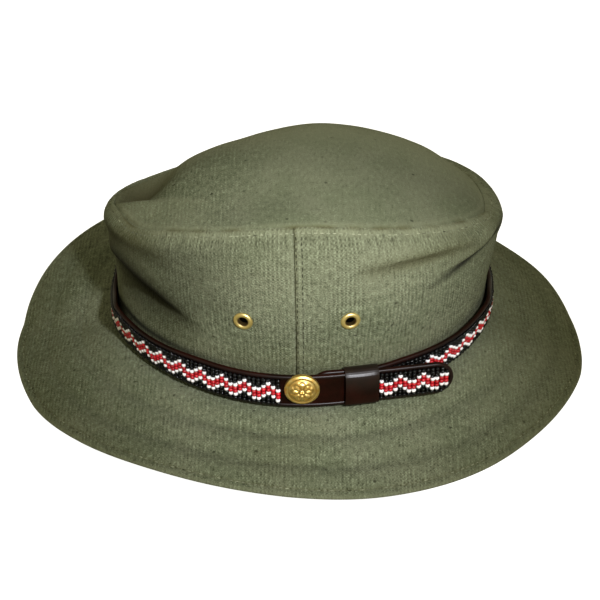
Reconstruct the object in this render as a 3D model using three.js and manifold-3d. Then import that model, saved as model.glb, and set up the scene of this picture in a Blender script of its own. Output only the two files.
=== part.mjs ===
// A canvas bush hat with a beaded leather band, made as it is sewn: two wall panels, a top and a brim.
// Millimetres, +Z up. The origin is on the table, under the middle of the hat's box.
// -X is the front of the hat and -Y its left side, where the band fastens.
import * as THREE from "three";
import { mergeVertices } from "three/addons/utils/BufferGeometryUtils.js";
import Module from "manifold-3d";

const wasm = await Module();
wasm.setup();

// Driving dimensions
const CLOTH = 1.6; // canvas wall of the crown
const BRIM_CLOTH = 2.2; // two plies of canvas, stitched together
const GAP = 0.3; // clearance between pieces that are sewn or laid together

// Ovals seen from above. A power of 2 is an ellipse, more is squarer; each side of the hat has its own.
// The foot of the crown, the seam of its top and the edge of the brim.
const BASE = { halfLength: 96, halfWidth: 82.5, leftPower: 2.0, rightPower: 2.0, shift: 1.7, turn: 0 };
const SEAM = { halfLength: 94, halfWidth: 60, leftPower: 2.05, rightPower: 2.3, shift: 0.5, turn: 0 };
const EDGE = { halfLength: 151.8, halfWidth: 136.5, leftPower: 1.85, rightPower: 2.1, shift: 0, turn: -3 };
const BASE_HEIGHT = 29.4;
const BACK_LIFT = { height: 4, narrow: 4 }; // how far the back end of the base rides up

// Where the two ends of the base are pressed down with the brim: how deep, and over how many degrees
const BASE_DIPS = [
  { name: "front", azimuth: 180, depth: 8, width: 14 },
  { name: "back", azimuth: 0, depth: 6, width: 13 },
];

// Height of the top seam above the middle of the base: full on the left side, slumped elsewhere
const SEAM_HEIGHTS = [
  { azimuth: -180, height: 65 },
  { azimuth: -163, height: 71 },
  { azimuth: -147, height: 70.5 },
  { azimuth: -128, height: 78 },
  { azimuth: -90, height: 88 },
  { azimuth: -60, height: 82.4 },
  { azimuth: -40, height: 76.4 },
  { azimuth: -20, height: 69.8 },
  { azimuth: 0, height: 63.5 },
  { azimuth: 45, height: 62.5 },
  { azimuth: 90, height: 61.5 },
  { azimuth: 130, height: 53.5 },
  { azimuth: 155, height: 56 },
];

// Sections of the wall, from the brim to the top seam: how far each has moved in from the base towards
// the seam, and how far it bulges out at the front, at the back and at the sides
const WALL_SECTIONS = [
  { rise: 0.0, inset: 0.0, frontBulge: 0.0, backBulge: 0.0, sideBulge: 0.0 },
  { rise: 0.38, inset: 0.04, frontBulge: 0.2, backBulge: 0.5, sideBulge: 0.5 },
  { rise: 0.55, inset: 0.15, frontBulge: 1.2, backBulge: 2.4, sideBulge: 3.4 },
  { rise: 0.78, inset: 0.42, frontBulge: 3.0, backBulge: 5.8, sideBulge: 5.0 },
  { rise: 0.93, inset: 0.68, frontBulge: 4.7, backBulge: 8.3, sideBulge: 3.8 },
  { rise: 1.0, inset: 1.0, frontBulge: 0.0, backBulge: 0.0, sideBulge: 0.0 },
];

// Creases where the wall has slumped: the cloth above laps out over the cloth below, which sinks in.
// A crease runs through three points: azimuths round the hat, and heights above the middle of the base.
const CREASES = [
  { name: "front_left", turns: [-179, -148, -116], heights: [39, 48.5, 36.5], lap: 2.4, sink: 6, reach: 17 },
  { name: "front_dent", turns: [-174, -148, -128], heights: [58, 66, 68], lap: 0.8, sink: 1.8, reach: 8 },
  { name: "back_left_low", turns: [-2, -28, -56], heights: [65, 63, 58], lap: 0.8, sink: 2.4, reach: 12 },
  { name: "back_left_high", turns: [-30, -54, -76], heights: [68.5, 71.6, 72], lap: 1, sink: 1.9, reach: 9 },
  { name: "back_right", turns: [12, 38, 66], heights: [40, 46, 38], lap: 2.0, sink: 3.6, reach: 14 },
  { name: "front_right", turns: [172, 146, 116], heights: [39, 45, 36], lap: 2.0, sink: 4.0, reach: 15 },
];
const CREASE_STEP = 7; // height over which the cloth turns from the lap to the sunk side
const CREASE_FADE = 0.8; // under 1 keeps a crease full until near its ends

// The top: a puffed middle that falls to the seam, and hollows pressed into it
const TOP = { height: 96.6, x: 8, y: 0, fall: 2.8 }; // its highest place, and how late it falls to the seam
const HOLLOWS = [
  { name: "front_pinch", x: -80, y: 8, depth: 18, length: 16, width: 28, ridge: true },
  { name: "left_slope", x: -28, y: -38, depth: 3.5, length: 42, width: 14 },
  { name: "back_slope", x: 62, y: -14, depth: 3.0, length: 22, width: 26 },
  { name: "front_right_slope", x: -48, y: 42, depth: 6.5, length: 34, width: 30 },
];
const HOLLOW_EDGE = 10; // how sharply the hollows end at the seam

// The near edge of the front pinch: a ridge from the front seam, beyond which the hollow drops
const RIDGE = { fromX: -93, fromY: -14, toX: -60, toY: -30, soft: 6 };

// Height of the brim's edge above the table. Below zero it is pressed flat where it rests.
const EDGE_HEIGHTS = [
  { azimuth: -180, height: -4 },
  { azimuth: -165, height: -4 },
  { azimuth: -150, height: 0.5 },
  { azimuth: -135, height: 8 },
  { azimuth: -118, height: 15 },
  { azimuth: -103, height: 16.6 },
  { azimuth: -88, height: 14.8 },
  { azimuth: -70, height: 9 },
  { azimuth: -50, height: 4.5 },
  { azimuth: -32, height: 5 },
  { azimuth: -16, height: 3.5 },
  { azimuth: 0, height: -4 },
  { azimuth: 12, height: -1 },
  { azimuth: 26, height: 3.5 },
  { azimuth: 44, height: 5 },
  { azimuth: 66, height: 11 },
  { azimuth: 90, height: 15 },
  { azimuth: 120, height: 19 },
  { azimuth: 144, height: 17 },
  { azimuth: 160, height: 12.5 },
  { azimuth: 171, height: 5.5 },
];
const BRIM_SAG = 1.25; // 1 is a straight slope, more leaves the crown level and droops later
const RIPPLES = { count: 3, height: 0.8, from: 0.1, full: 0.3, ends: 0.12 }; // shallow rings in the brim

// The band: one leather strip that laps over itself and is held by a stud and a keeper
const STRAP = { height: 18.8, thickness: 2.2, corner: 0.6, lift: 2.5 };
const STRAP_LEAN = { degrees: 9, from: 0.45, full: 0.8, less: 0.93 }; // it tips out between sides and ends
const STRAP_ROUTE = [
  { azimuth: -86, clear: 2.1 },
  { azimuth: -80, clear: 2.1 },
  { azimuth: -68, clear: 3.1 },
  { azimuth: -60, clear: 2.3 },
  { azimuth: -44, clear: 0.9 },
  { azimuth: -15, clear: 0.6 },
  { azimuth: 90, clear: 0.6 },
  { azimuth: 190, clear: 0.8 },
  { azimuth: 222, clear: 0.8 },
  { azimuth: 258, clear: 4.8 },
  { azimuth: 282, clear: 4.8 },
];
const TAB_LENGTH = 53.8; // straight end of the strap, past the oval
const BEADWORK = { height: 15.6, thickness: 1.5, fromStep: 6, toStep: 76 }; // steps of the strap
const TAB_BEADWORK = { from: 17, margin: 2.6 };
const KEEPER = { width: 16.6, slack: 0.35, leather: 1.0, along: 7.8 };
const STUD = { azimuth: -90, raise: 2.2, radius: 8.5, dome: 3.0, rim: 0.9, post: 1.8, tail: 1.5 };
const STUD_DOME = [
  { radius: 0.92, height: 0.5 },
  { radius: 0.7, height: 0.78 },
  { radius: 0.4, height: 0.95 },
]; // shares of the stud's radius and dome
const EYELETS = { outer: 4.9, inner: 2.3, barrel: 2.9, flange: 0.7, seat: 0.6, bevel: 0.5 };
const EYELET_PLACES = { leftRise: 0.557, rightRise: 0.46, sideways: 24.9 };
const SEAM_AZIMUTHS = { left: -91.4, right: 90 }; // where the two wall panels meet

// How finely the cloth is faceted
const PANEL_STEPS = 32;
const WALL_ROWS = 14;
const TOP_STEPS = 54;
const TOP_RINGS = 7;
const TOP_CROWD = 0.8; // under 1 puts the rings of the top nearer its seam
const BRIM_STEPS = 72;
const BRIM_RINGS = 8;
const BRIM_CROWD = 1.15; // over 1 puts the rings of the brim nearer its edge
const STRAP_STEPS = 80;
const TAB_STEPS = { straight: 3, round: 8, beads: 12 };
const ROUND_SIDES = 12; // eyelets and holes
const STUD_SIDES = 20;

const radians = THREE.MathUtils.degToRad;
const lerp = THREE.MathUtils.lerp;
const smooth = THREE.MathUtils.smoothstep;

// A smooth curve through one column of a table, read at any place along another column
function curveThrough(rows, along, column) {
  const xs = rows.map((row) => row[along]);
  const ys = rows.map((row) => row[column]);
  const last = xs.length - 1;
  const slope = (i) => {
    const a = Math.max(i - 1, 0);
    const b = Math.min(i + 1, last);
    return (ys[b] - ys[a]) / (xs[b] - xs[a]);
  };
  return (x) => {
    const place = THREE.MathUtils.clamp(x, xs[0], xs[last]);
    let i = 0;
    while (i < last - 1 && place > xs[i + 1]) i += 1;
    const span = xs[i + 1] - xs[i];
    const t = (place - xs[i]) / span;
    const rest = 1 - t;
    const start = (1 + 2 * t) * rest * rest * ys[i] + t * rest * rest * span * slope(i);
    const end = t * t * (3 - 2 * t) * ys[i + 1] - t * t * rest * span * slope(i + 1);
    return start + end;
  };
}

// The same for a table that goes once round the hat
function curveAround(rows, column) {
  const turn = (by) => rows.map((row) => ({ ...row, azimuth: row.azimuth + by }));
  const curve = curveThrough([...turn(-360), ...rows, ...turn(360)], "azimuth", column);
  return (azimuth) => curve(turnedTo(azimuth));
}

function ovalPoint(oval, azimuth) {
  const c = Math.cos(radians(azimuth));
  const s = Math.sin(radians(azimuth));
  const power = s < 0 ? oval.leftPower : oval.rightPower;
  const swell = (v) => Math.sign(v) * Math.abs(v) ** (2 / power);
  const point = new THREE.Vector2(oval.halfLength * swell(c), oval.halfWidth * swell(s));
  point.rotateAround(new THREE.Vector2(), radians(oval.turn));
  point.x += oval.shift;
  return point;
}

// Unit vector out of an oval, level with the table
function ovalOutward(oval, azimuth) {
  const step = 0.5;
  const before = ovalPoint(oval, azimuth - step);
  const along = ovalPoint(oval, azimuth + step).sub(before).normalize();
  return new THREE.Vector2(along.y, -along.x);
}

const turnedTo = (azimuth) => THREE.MathUtils.euclideanModulo(azimuth + 180, 360) - 180;

function baseHeight(azimuth) {
  let height = BASE_HEIGHT + BACK_LIFT.height * Math.max(Math.cos(radians(azimuth)), 0) ** BACK_LIFT.narrow;
  for (const dip of BASE_DIPS) {
    const away = turnedTo(azimuth - dip.azimuth) / dip.width;
    height -= dip.depth * Math.exp(-away * away);
  }
  return height;
}

const seamRise = curveAround(SEAM_HEIGHTS, "height");
const seamHeight = (azimuth) => BASE_HEIGHT + seamRise(azimuth);
const edgeHeight = curveAround(EDGE_HEIGHTS, "height");
const wallInset = curveThrough(WALL_SECTIONS, "rise", "inset");
const wallFrontBulge = curveThrough(WALL_SECTIONS, "rise", "frontBulge");
const wallBackBulge = curveThrough(WALL_SECTIONS, "rise", "backBulge");
const wallSideBulge = curveThrough(WALL_SECTIONS, "rise", "sideBulge");

// How far the creases move the wall out at a place on it
const creasePaths = CREASES.map((crease) => {
  const points = crease.turns.map((azimuth, i) => ({ azimuth, height: crease.heights[i] }));
  points.sort((a, b) => a.azimuth - b.azimuth);
  const path = curveThrough(points, "azimuth", "height");
  return { ...crease, from: points[0].azimuth, to: points[2].azimuth, path };
});

function creaseOffset(azimuth, height) {
  let offset = 0;
  for (const crease of creasePaths) {
    if (azimuth <= crease.from || azimuth >= crease.to) continue;
    const share = (azimuth - crease.from) / (crease.to - crease.from);
    const fade = Math.sin(Math.PI * share) ** CREASE_FADE;
    const above = height - crease.path(azimuth);
    const side = smooth(above, -CREASE_STEP, CREASE_STEP);
    const decay = Math.exp(-((above / crease.reach) ** 2));
    offset += fade * decay * (side * crease.lap - (1 - side) * crease.sink);
  }
  return offset;
}

// A point of the crown's wall, from the brim at rise 0 to the top seam at rise 1
function wallPoint(azimuth, rise) {
  const turned = turnedTo(azimuth);
  const plan = ovalPoint(BASE, turned).lerp(ovalPoint(SEAM, turned), wallInset(rise));
  const end = Math.cos(radians(turned));
  const endBulge = end < 0 ? wallFrontBulge(rise) : wallBackBulge(rise);
  const height = lerp(baseHeight(turned), seamHeight(turned), rise);
  const bulge = lerp(wallSideBulge(rise), endBulge, end * end);
  const out = bulge + creaseOffset(turned, height - BASE_HEIGHT);
  plan.addScaledVector(ovalOutward(BASE, turned), out);
  return new THREE.Vector3(plan.x, plan.y, height);
}

// How far the front pinch has begun at a place of the top, seen from above
function beyondRidge(x, y) {
  const along = new THREE.Vector2(RIDGE.toX - RIDGE.fromX, RIDGE.toY - RIDGE.fromY).normalize();
  const beyond = (y - RIDGE.fromY) * along.x - (x - RIDGE.fromX) * along.y;
  return smooth(beyond, 0, RIDGE.soft);
}

// A point of the top, from its middle at reach 0 to its seam at reach 1
function topPoint(azimuth, reach) {
  const centre = new THREE.Vector2(TOP.x, TOP.y);
  const plan = ovalPoint(SEAM, azimuth).sub(centre).multiplyScalar(reach).add(centre);
  let height = lerp(BASE_HEIGHT + TOP.height, seamHeight(azimuth), reach ** TOP.fall);
  for (const hollow of HOLLOWS) {
    const dx = (plan.x - hollow.x) / hollow.length;
    const dy = (plan.y - hollow.y) / hollow.width;
    const begun = hollow.ridge ? beyondRidge(plan.x, plan.y) : 1;
    height -= begun * hollow.depth * Math.exp(-dx * dx - dy * dy) * (1 - reach ** HOLLOW_EDGE);
  }
  return new THREE.Vector3(plan.x, plan.y, height);
}

// A point of the brim's underside, from the base at reach 0 to the edge at reach 1
function brimPoint(azimuth, reach) {
  const inner = ovalPoint(BASE, azimuth).addScaledVector(ovalOutward(BASE, azimuth), -CLOTH);
  const plan = inner.lerp(ovalPoint(EDGE, azimuth), reach);
  const start = baseHeight(azimuth) - BRIM_CLOTH - GAP;
  const shown = smooth(reach, RIPPLES.from, RIPPLES.full) * smooth(1 - reach, 0, RIPPLES.ends);
  const ripple = RIPPLES.height * Math.sin(2 * Math.PI * RIPPLES.count * reach) * shown;
  const height = lerp(start, edgeHeight(azimuth), reach ** BRIM_SAG) + ripple;
  return new THREE.Vector3(plan.x, plan.y, Math.max(height, 0));
}

// Unit normal of a surface, its first argument running anticlockwise and its second up or inwards
function normalOf(surface, azimuth, v, turn = 0.6, step = 0.01) {
  const along = surface(azimuth + turn, v).sub(surface(azimuth - turn, v));
  const across = surface(azimuth, Math.min(v + step, 1)).sub(surface(azimuth, Math.max(v - step, 0)));
  return along.cross(across).normalize();
}

const topFromSeam = (azimuth, inward) => topPoint(azimuth, 1 - inward);

// The wall and the top share one direction at their seam, so that their edges stay parallel
function seamNormal(azimuth) {
  const below = 0.97;
  const inward = 0.05;
  return normalOf(wallPoint, azimuth, below).add(normalOf(topFromSeam, azimuth, inward)).normalize();
}

// A closed geometry from points and triangles: equal points are merged and empty triangles dropped
function closedGeometry(points, triangles) {
  const loose = new THREE.BufferGeometry();
  loose.setAttribute("position", new THREE.Float32BufferAttribute(points.flatMap((p) => p.toArray()), 3));
  loose.setIndex(triangles);
  const merged = mergeVertices(loose, 1e-3);
  const index = merged.index.array;
  const kept = [];
  for (let i = 0; i < index.length; i += 3) {
    const [a, b, c] = index.subarray(i, i + 3);
    if (a !== b && b !== c && c !== a) kept.push(a, b, c);
  }
  merged.setIndex(kept);
  return merged;
}

// A closed wall between two grids of points. A ring's last row joins its first.
function shellGeometry(outside, inside, ring) {
  const rows = outside.length;
  const columns = outside[0].length;
  const triangles = [];
  const outer = (i, j) => (i % rows) * columns + j;
  const inner = (i, j) => rows * columns + outer(i, j);
  const points = [...outside.flat(), ...inside.flat()];
  const quad = (a, b, c, d) => {
    const first = points[a].distanceTo(points[c]);
    const second = points[b].distanceTo(points[d]);
    if (first <= second) triangles.push(a, b, c, a, c, d);
    else triangles.push(a, b, d, b, c, d);
  };
  const steps = ring ? rows : rows - 1;
  const last = columns - 1;
  for (let i = 0; i < steps; i += 1) {
    for (let j = 0; j < last; j += 1) {
      quad(outer(i, j), outer(i + 1, j), outer(i + 1, j + 1), outer(i, j + 1));
      quad(inner(i, j), inner(i, j + 1), inner(i + 1, j + 1), inner(i + 1, j));
    }
    quad(outer(i, 0), inner(i, 0), inner(i + 1, 0), outer(i + 1, 0));
    quad(outer(i, last), outer(i + 1, last), inner(i + 1, last), inner(i, last));
  }
  if (!ring) {
    for (let j = 0; j < last; j += 1) {
      quad(outer(0, j), outer(0, j + 1), inner(0, j + 1), inner(0, j));
      quad(outer(steps, j), inner(steps, j), inner(steps, j + 1), outer(steps, j + 1));
    }
  }
  return closedGeometry(points, triangles);
}

function solidOf(geometry) {
  const bare = geometry.clone();
  bare.deleteAttribute("normal");
  bare.deleteAttribute("uv");
  const merged = closedGeometry(
    Array.from({ length: bare.attributes.position.count }, (_, i) =>
      new THREE.Vector3().fromBufferAttribute(bare.attributes.position, i),
    ),
    bare.index ? [...bare.index.array] : Array.from({ length: bare.attributes.position.count }, (_, i) => i),
  );
  return new wasm.Manifold(
    new wasm.Mesh({
      numProp: 3,
      vertProperties: merged.attributes.position.array,
      triVerts: new Uint32Array(merged.index.array),
    }),
  );
}

function geometryOf(solid) {
  const mesh = solid.getMesh();
  const geometry = new THREE.BufferGeometry();
  geometry.setAttribute("position", new THREE.BufferAttribute(new Float32Array(mesh.vertProperties), 3));
  geometry.setIndex(new THREE.BufferAttribute(mesh.triVerts, 1));
  geometry.computeVertexNormals();
  return geometry;
}

// A solid of revolution about +Z from pairs of radius and height that close on themselves or on the axis
function latheUpright(profile, sides) {
  const points = profile.map(([radius, height]) => new THREE.Vector2(radius, height));
  return new THREE.LatheGeometry(points, sides).rotateX(Math.PI / 2);
}

// Materials, one for each finish
const canvas = new THREE.MeshStandardMaterial({ color: 0x6b7355, roughness: 0.95, metalness: 0 });
const leather = new THREE.MeshStandardMaterial({ color: 0x2a1512, roughness: 0.45, metalness: 0 });
const beads = new THREE.MeshStandardMaterial({ color: 0x5a1a1c, roughness: 0.25, metalness: 0 });
const brass = new THREE.MeshStandardMaterial({ color: 0xb8892f, roughness: 0.3, metalness: 1 });

const hat = new THREE.Group();

function addPiece(name, geometry, material) {
  const piece = new THREE.Mesh(geometry, material);
  piece.name = name;
  hat.add(piece);
  return piece;
}

// Where an eyelet pierces the wall, and which way it faces
function eyeletPlace(side, sideways) {
  const middle = side === "left" ? SEAM_AZIMUTHS.left : SEAM_AZIMUTHS.right;
  const turn = THREE.MathUtils.radToDeg(sideways / BASE.halfLength);
  const azimuth = middle + (side === "left" ? turn : -turn);
  const rise = side === "left" ? EYELET_PLACES.leftRise : EYELET_PLACES.rightRise;
  return { point: wallPoint(azimuth, rise), facing: normalOf(wallPoint, azimuth, rise, 2, 0.03) };
}

const eyeletPlaces = [
  { name: "eyelet_left_front", ...eyeletPlace("left", -EYELET_PLACES.sideways) },
  { name: "eyelet_left_back", ...eyeletPlace("left", EYELET_PLACES.sideways) },
  { name: "eyelet_right_front", ...eyeletPlace("right", -EYELET_PLACES.sideways) },
  { name: "eyelet_right_back", ...eyeletPlace("right", EYELET_PLACES.sideways) },
];

// Turns +Z to face out of the wall at a place, with its origin there
function facingMatrix(place) {
  const turn = new THREE.Quaternion().setFromUnitVectors(new THREE.Vector3(0, 0, 1), place.facing);
  return new THREE.Matrix4().compose(place.point, turn, new THREE.Vector3(1, 1, 1));
}

// A wall panel between two seams, with its eyelet holes
function wallPanel(from, to) {
  const half = THREE.MathUtils.radToDeg(GAP / 2 / SEAM.halfWidth);
  const outside = [];
  const inside = [];
  for (let i = 0; i <= PANEL_STEPS; i += 1) {
    const azimuth = lerp(from + half, to - half, i / PANEL_STEPS);
    const outer = [];
    const inner = [];
    for (let j = 0; j <= WALL_ROWS; j += 1) {
      const rise = j / WALL_ROWS;
      const point = wallPoint(azimuth, rise);
      const normal = j === WALL_ROWS ? seamNormal(azimuth) : normalOf(wallPoint, azimuth, rise);
      if (j === 0) normal.setZ(0).normalize();
      outer.push(point);
      inner.push(point.clone().addScaledVector(normal, -CLOTH));
    }
    outside.push(outer);
    inside.push(inner);
  }
  let panel = solidOf(shellGeometry(outside, inside, false));
  for (const place of eyeletPlaces) {
    const length = 6 * CLOTH;
    const drill = new THREE.CylinderGeometry(EYELETS.barrel + GAP, EYELETS.barrel + GAP, length, ROUND_SIDES);
    drill.rotateX(Math.PI / 2).applyMatrix4(facingMatrix(place));
    panel = panel.subtract(solidOf(drill));
  }
  return geometryOf(panel);
}

addPiece("crown_back_panel", wallPanel(SEAM_AZIMUTHS.left, SEAM_AZIMUTHS.right), canvas);
addPiece("crown_front_panel", wallPanel(SEAM_AZIMUTHS.right, SEAM_AZIMUTHS.left + 360), canvas);

// The top panel of the crown
function crownTop() {
  const outside = [];
  const inside = [];
  const margin = GAP / SEAM.halfWidth;
  for (let i = 0; i < TOP_STEPS; i += 1) {
    const azimuth = (360 * i) / TOP_STEPS - 180;
    const outer = [];
    const inner = [];
    for (let j = 0; j <= TOP_RINGS; j += 1) {
      const reach = (1 - margin) * (1 - j / TOP_RINGS) ** TOP_CROWD;
      const point = topPoint(azimuth, reach);
      let normal = normalOf(topFromSeam, azimuth, 1 - reach);
      if (j === 0) normal = seamNormal(azimuth);
      if (j === TOP_RINGS) normal = new THREE.Vector3(0, 0, 1);
      outer.push(point);
      inner.push(point.clone().addScaledVector(normal, -CLOTH));
    }
    outside.push(outer);
    inside.push(inner);
  }
  return shellGeometry(outside, inside, true);
}

addPiece("crown_top", crownTop(), canvas);

// The brim: its underside is the modelled surface, so that it lies flat on the table
function brim() {
  const upper = [];
  const under = [];
  for (let i = 0; i < BRIM_STEPS; i += 1) {
    const azimuth = (360 * i) / BRIM_STEPS - 180;
    const top = [];
    const bottom = [];
    for (let j = 0; j <= BRIM_RINGS; j += 1) {
      const reach = 1 - (j / BRIM_RINGS) ** BRIM_CROWD;
      const point = brimPoint(azimuth, reach);
      bottom.push(point);
      top.push(point.clone().add(new THREE.Vector3(0, 0, BRIM_CLOTH)));
    }
    upper.push(top);
    under.push(bottom);
  }
  return shellGeometry(upper, under, true);
}

addPiece("brim", brim(), canvas);

// The strap's middle line, seen from above: round the base, over its own start, then straight on as the tab
const strapClear = curveThrough(STRAP_ROUTE, "azimuth", "clear");
const strapStart = STRAP_ROUTE[0].azimuth;
const strapTurn = STRAP_ROUTE[STRAP_ROUTE.length - 1].azimuth;

function strapPoint(azimuth) {
  const out = strapClear(azimuth) + STRAP.thickness / 2;
  return ovalPoint(BASE, azimuth).addScaledVector(ovalOutward(BASE, azimuth), out);
}

const tabStart = strapPoint(strapTurn);
const tabOut = ovalOutward(BASE, strapTurn);
const tabAlong = new THREE.Vector2(-tabOut.y, tabOut.x);
const strapFloor = (azimuth) => baseHeight(azimuth) + STRAP.lift;

// How far the strap leans out for each millimetre of its height
function strapLean(azimuth) {
  const end = Math.abs(Math.cos(radians(azimuth)));
  const { degrees, from, full, less } = STRAP_LEAN;
  return Math.tan(radians(degrees)) * smooth(end, from, full) * (1 - smooth(end, less, 1));
}

// Stations along the strap: a point on its middle line, the way out of it, its lower edge and its lean
function loopStations(from, to) {
  return Array.from({ length: to - from + 1 }, (_, i) => {
    const azimuth = lerp(strapStart, strapTurn, (from + i) / STRAP_STEPS);
    const place = { point: strapPoint(azimuth), out: ovalOutward(BASE, azimuth) };
    return { ...place, floor: strapFloor(azimuth), lean: strapLean(azimuth) };
  });
}

function tabStations(from, to, steps) {
  return Array.from({ length: steps + 1 }, (_, i) => {
    const distance = lerp(from, to, i / steps);
    const point = tabStart.clone().addScaledVector(tabAlong, distance);
    return { point, out: tabOut, floor: strapFloor(strapTurn), lean: 0, distance };
  });
}

// Half the height that is left of a strip near its rounded end, where a blunt tip stays
function roundedHalf(half, distance, end) {
  const past = distance - (end - half);
  const tip = 0.1 * half;
  return past > 0 ? Math.sqrt(Math.max(half * half - past * past, tip * tip)) : half;
}

// A strip that stands on edge through stations. `section` gives its corners as pairs of out and up.
function stripGeometry(stations, section) {
  const rings = stations.map((station) =>
    section(station).map(([out, up]) => {
      const plan = station.point.clone().addScaledVector(station.out, out + up * station.lean);
      return new THREE.Vector3(plan.x, plan.y, station.floor + up);
    }),
  );
  const count = rings[0].length;
  const points = rings.flat();
  const triangles = [];
  for (let i = 0; i + 1 < rings.length; i += 1) {
    for (let j = 0; j < count; j += 1) {
      const next = (j + 1) % count;
      const [a, b] = [i * count + j, i * count + next];
      const [c, d] = [a + count, b + count];
      const shorter = points[a].distanceTo(points[d]) <= points[b].distanceTo(points[c]);
      triangles.push(...(shorter ? [a, d, c, a, b, d] : [a, b, c, b, d, c]));
    }
  }
  const end = (rings.length - 1) * count;
  for (let j = 1; j + 1 < count; j += 1) {
    triangles.push(0, j + 1, j);
    triangles.push(end, end + j, end + j + 1);
  }
  return closedGeometry(points, triangles);
}

// Corners of a strip's section, anticlockwise as seen along the strip
function boxSection(inner, outer, low, high, corner) {
  return [
    [inner, low],
    [inner, high],
    [outer - corner, high],
    [outer, high - corner],
    [outer, low + corner],
    [outer - corner, low],
  ];
}

function strap() {
  const half = STRAP.height / 2;
  const section = (station) => {
    const reach = station.distance === undefined ? half : roundedHalf(half, station.distance, TAB_LENGTH);
    const t = STRAP.thickness / 2;
    return boxSection(-t, t, half - reach, half + reach, Math.min(STRAP.corner, reach / 2));
  };
  const stations = [
    ...loopStations(0, STRAP_STEPS),
    ...tabStations(TAB_LENGTH / 4, TAB_LENGTH - half, TAB_STEPS.straight),
    ...tabStations(TAB_LENGTH - half, TAB_LENGTH, TAB_STEPS.round).slice(1),
  ];
  const length = 8 * STRAP.thickness;
  const hole = new THREE.CylinderGeometry(STUD.post + GAP, STUD.post + GAP, length, ROUND_SIDES);
  const place = studPlace();
  hole.translate(place.x, place.y, place.z);
  return geometryOf(solidOf(stripGeometry(stations, section)).subtract(solidOf(hole)));
}

// The middle of the strap's outer face under the stud
function studPlace() {
  const azimuth = STUD.azimuth + 360;
  const point = strapPoint(azimuth).addScaledVector(ovalOutward(BASE, azimuth), STRAP.thickness / 2);
  return new THREE.Vector3(point.x, point.y, strapFloor(azimuth) + STRAP.height / 2 + STUD.raise);
}

addPiece("band_strap", strap(), leather);

// The beadwork, woven as a flat band on the strap's face: one round the crown and one on the tab
function beadSection(station) {
  const inner = STRAP.thickness / 2 + GAP;
  const low = (STRAP.height - BEADWORK.height) / 2;
  const half = BEADWORK.height / 2;
  const end = TAB_LENGTH - TAB_BEADWORK.margin;
  const reach = station.distance === undefined ? half : roundedHalf(half, station.distance, end + half / 2);
  const middle = low + half;
  const outer = inner + BEADWORK.thickness;
  return boxSection(inner, outer, middle - reach, middle + reach, BEADWORK.thickness / 3);
}

const loopBeadStations = loopStations(BEADWORK.fromStep, BEADWORK.toStep);
addPiece("beadwork_loop", stripGeometry(loopBeadStations, beadSection), beads);
const tabBeadStations = tabStations(TAB_BEADWORK.from, TAB_LENGTH - TAB_BEADWORK.margin, TAB_STEPS.beads);
addPiece("beadwork_tab", stripGeometry(tabBeadStations, beadSection), beads);

// The keeper: a leather loop round both layers of the strap
function keeper() {
  const inner = STRAP.thickness / 2;
  const back = -inner - strapClear(strapTurn) + strapClear(strapStart) - 2 * GAP;
  const front = inner + GAP;
  const clear = STRAP.height / 2 + KEEPER.slack;
  const high = clear + KEEPER.leather;
  const outline = new THREE.Shape();
  outline.moveTo(back - KEEPER.leather, -high);
  outline.lineTo(front + KEEPER.leather, -high);
  outline.lineTo(front + KEEPER.leather, high);
  outline.lineTo(back - KEEPER.leather, high);
  const opening = new THREE.Path();
  opening.moveTo(back, -clear);
  opening.lineTo(back, clear);
  opening.lineTo(front, clear);
  opening.lineTo(front, -clear);
  outline.holes.push(opening);
  return new THREE.ExtrudeGeometry(outline, { depth: KEEPER.width, bevelEnabled: false });
}

const keeperPiece = addPiece("band_keeper", keeper(), leather);
const keeperAlong = new THREE.Vector3(tabAlong.x, tabAlong.y, 0);
const keeperOut = new THREE.Vector3(tabOut.x, tabOut.y, 0);
keeperPiece.quaternion.setFromRotationMatrix(
  new THREE.Matrix4().makeBasis(keeperOut, new THREE.Vector3(0, 0, 1), keeperAlong.clone().negate()),
);
keeperPiece.position.set(tabStart.x, tabStart.y, strapFloor(strapTurn) + STRAP.height / 2);
keeperPiece.position.addScaledVector(keeperAlong, KEEPER.along + KEEPER.width / 2);

// The stud: a domed brass head on a post through both layers of the strap
function stud() {
  const depth = STRAP.thickness + STUD.tail;
  const profile = [
    [0, STUD.dome],
    [0, -depth],
    [STUD.post, -depth],
    [STUD.post, GAP],
    [STUD.radius - STUD.rim, GAP],
    [STUD.radius, GAP + STUD.rim],
    ...STUD_DOME.map(({ radius, height }) => [radius * STUD.radius, height * STUD.dome]),
    [0, STUD.dome],
  ];
  return latheUpright(profile, STUD_SIDES);
}

const studPiece = addPiece("band_stud", stud(), brass);
studPiece.position.copy(studPlace());
studPiece.rotation.x = Math.PI / 2;

// An eyelet: a brass tube through the wall, rolled over on both faces
function eyelet() {
  const face = EYELETS.seat;
  const back = -CLOTH - EYELETS.seat;
  const profile = [
    [EYELETS.inner, face + EYELETS.flange],
    [EYELETS.inner, back - EYELETS.flange],
    [EYELETS.outer, back - EYELETS.flange],
    [EYELETS.outer, back],
    [EYELETS.barrel, back],
    [EYELETS.barrel, face],
    [EYELETS.outer, face],
    [EYELETS.outer - EYELETS.bevel, face + EYELETS.flange],
    [EYELETS.inner, face + EYELETS.flange],
  ];
  return latheUpright(profile, ROUND_SIDES);
}

for (const place of eyeletPlaces) {
  const piece = addPiece(place.name, eyelet(), brass);
  piece.applyMatrix4(facingMatrix(place));
}

export default hat;
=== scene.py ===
import math
from contextlib import contextmanager

import bpy
import numpy as np
from mathutils import Matrix, Vector, noise


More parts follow.
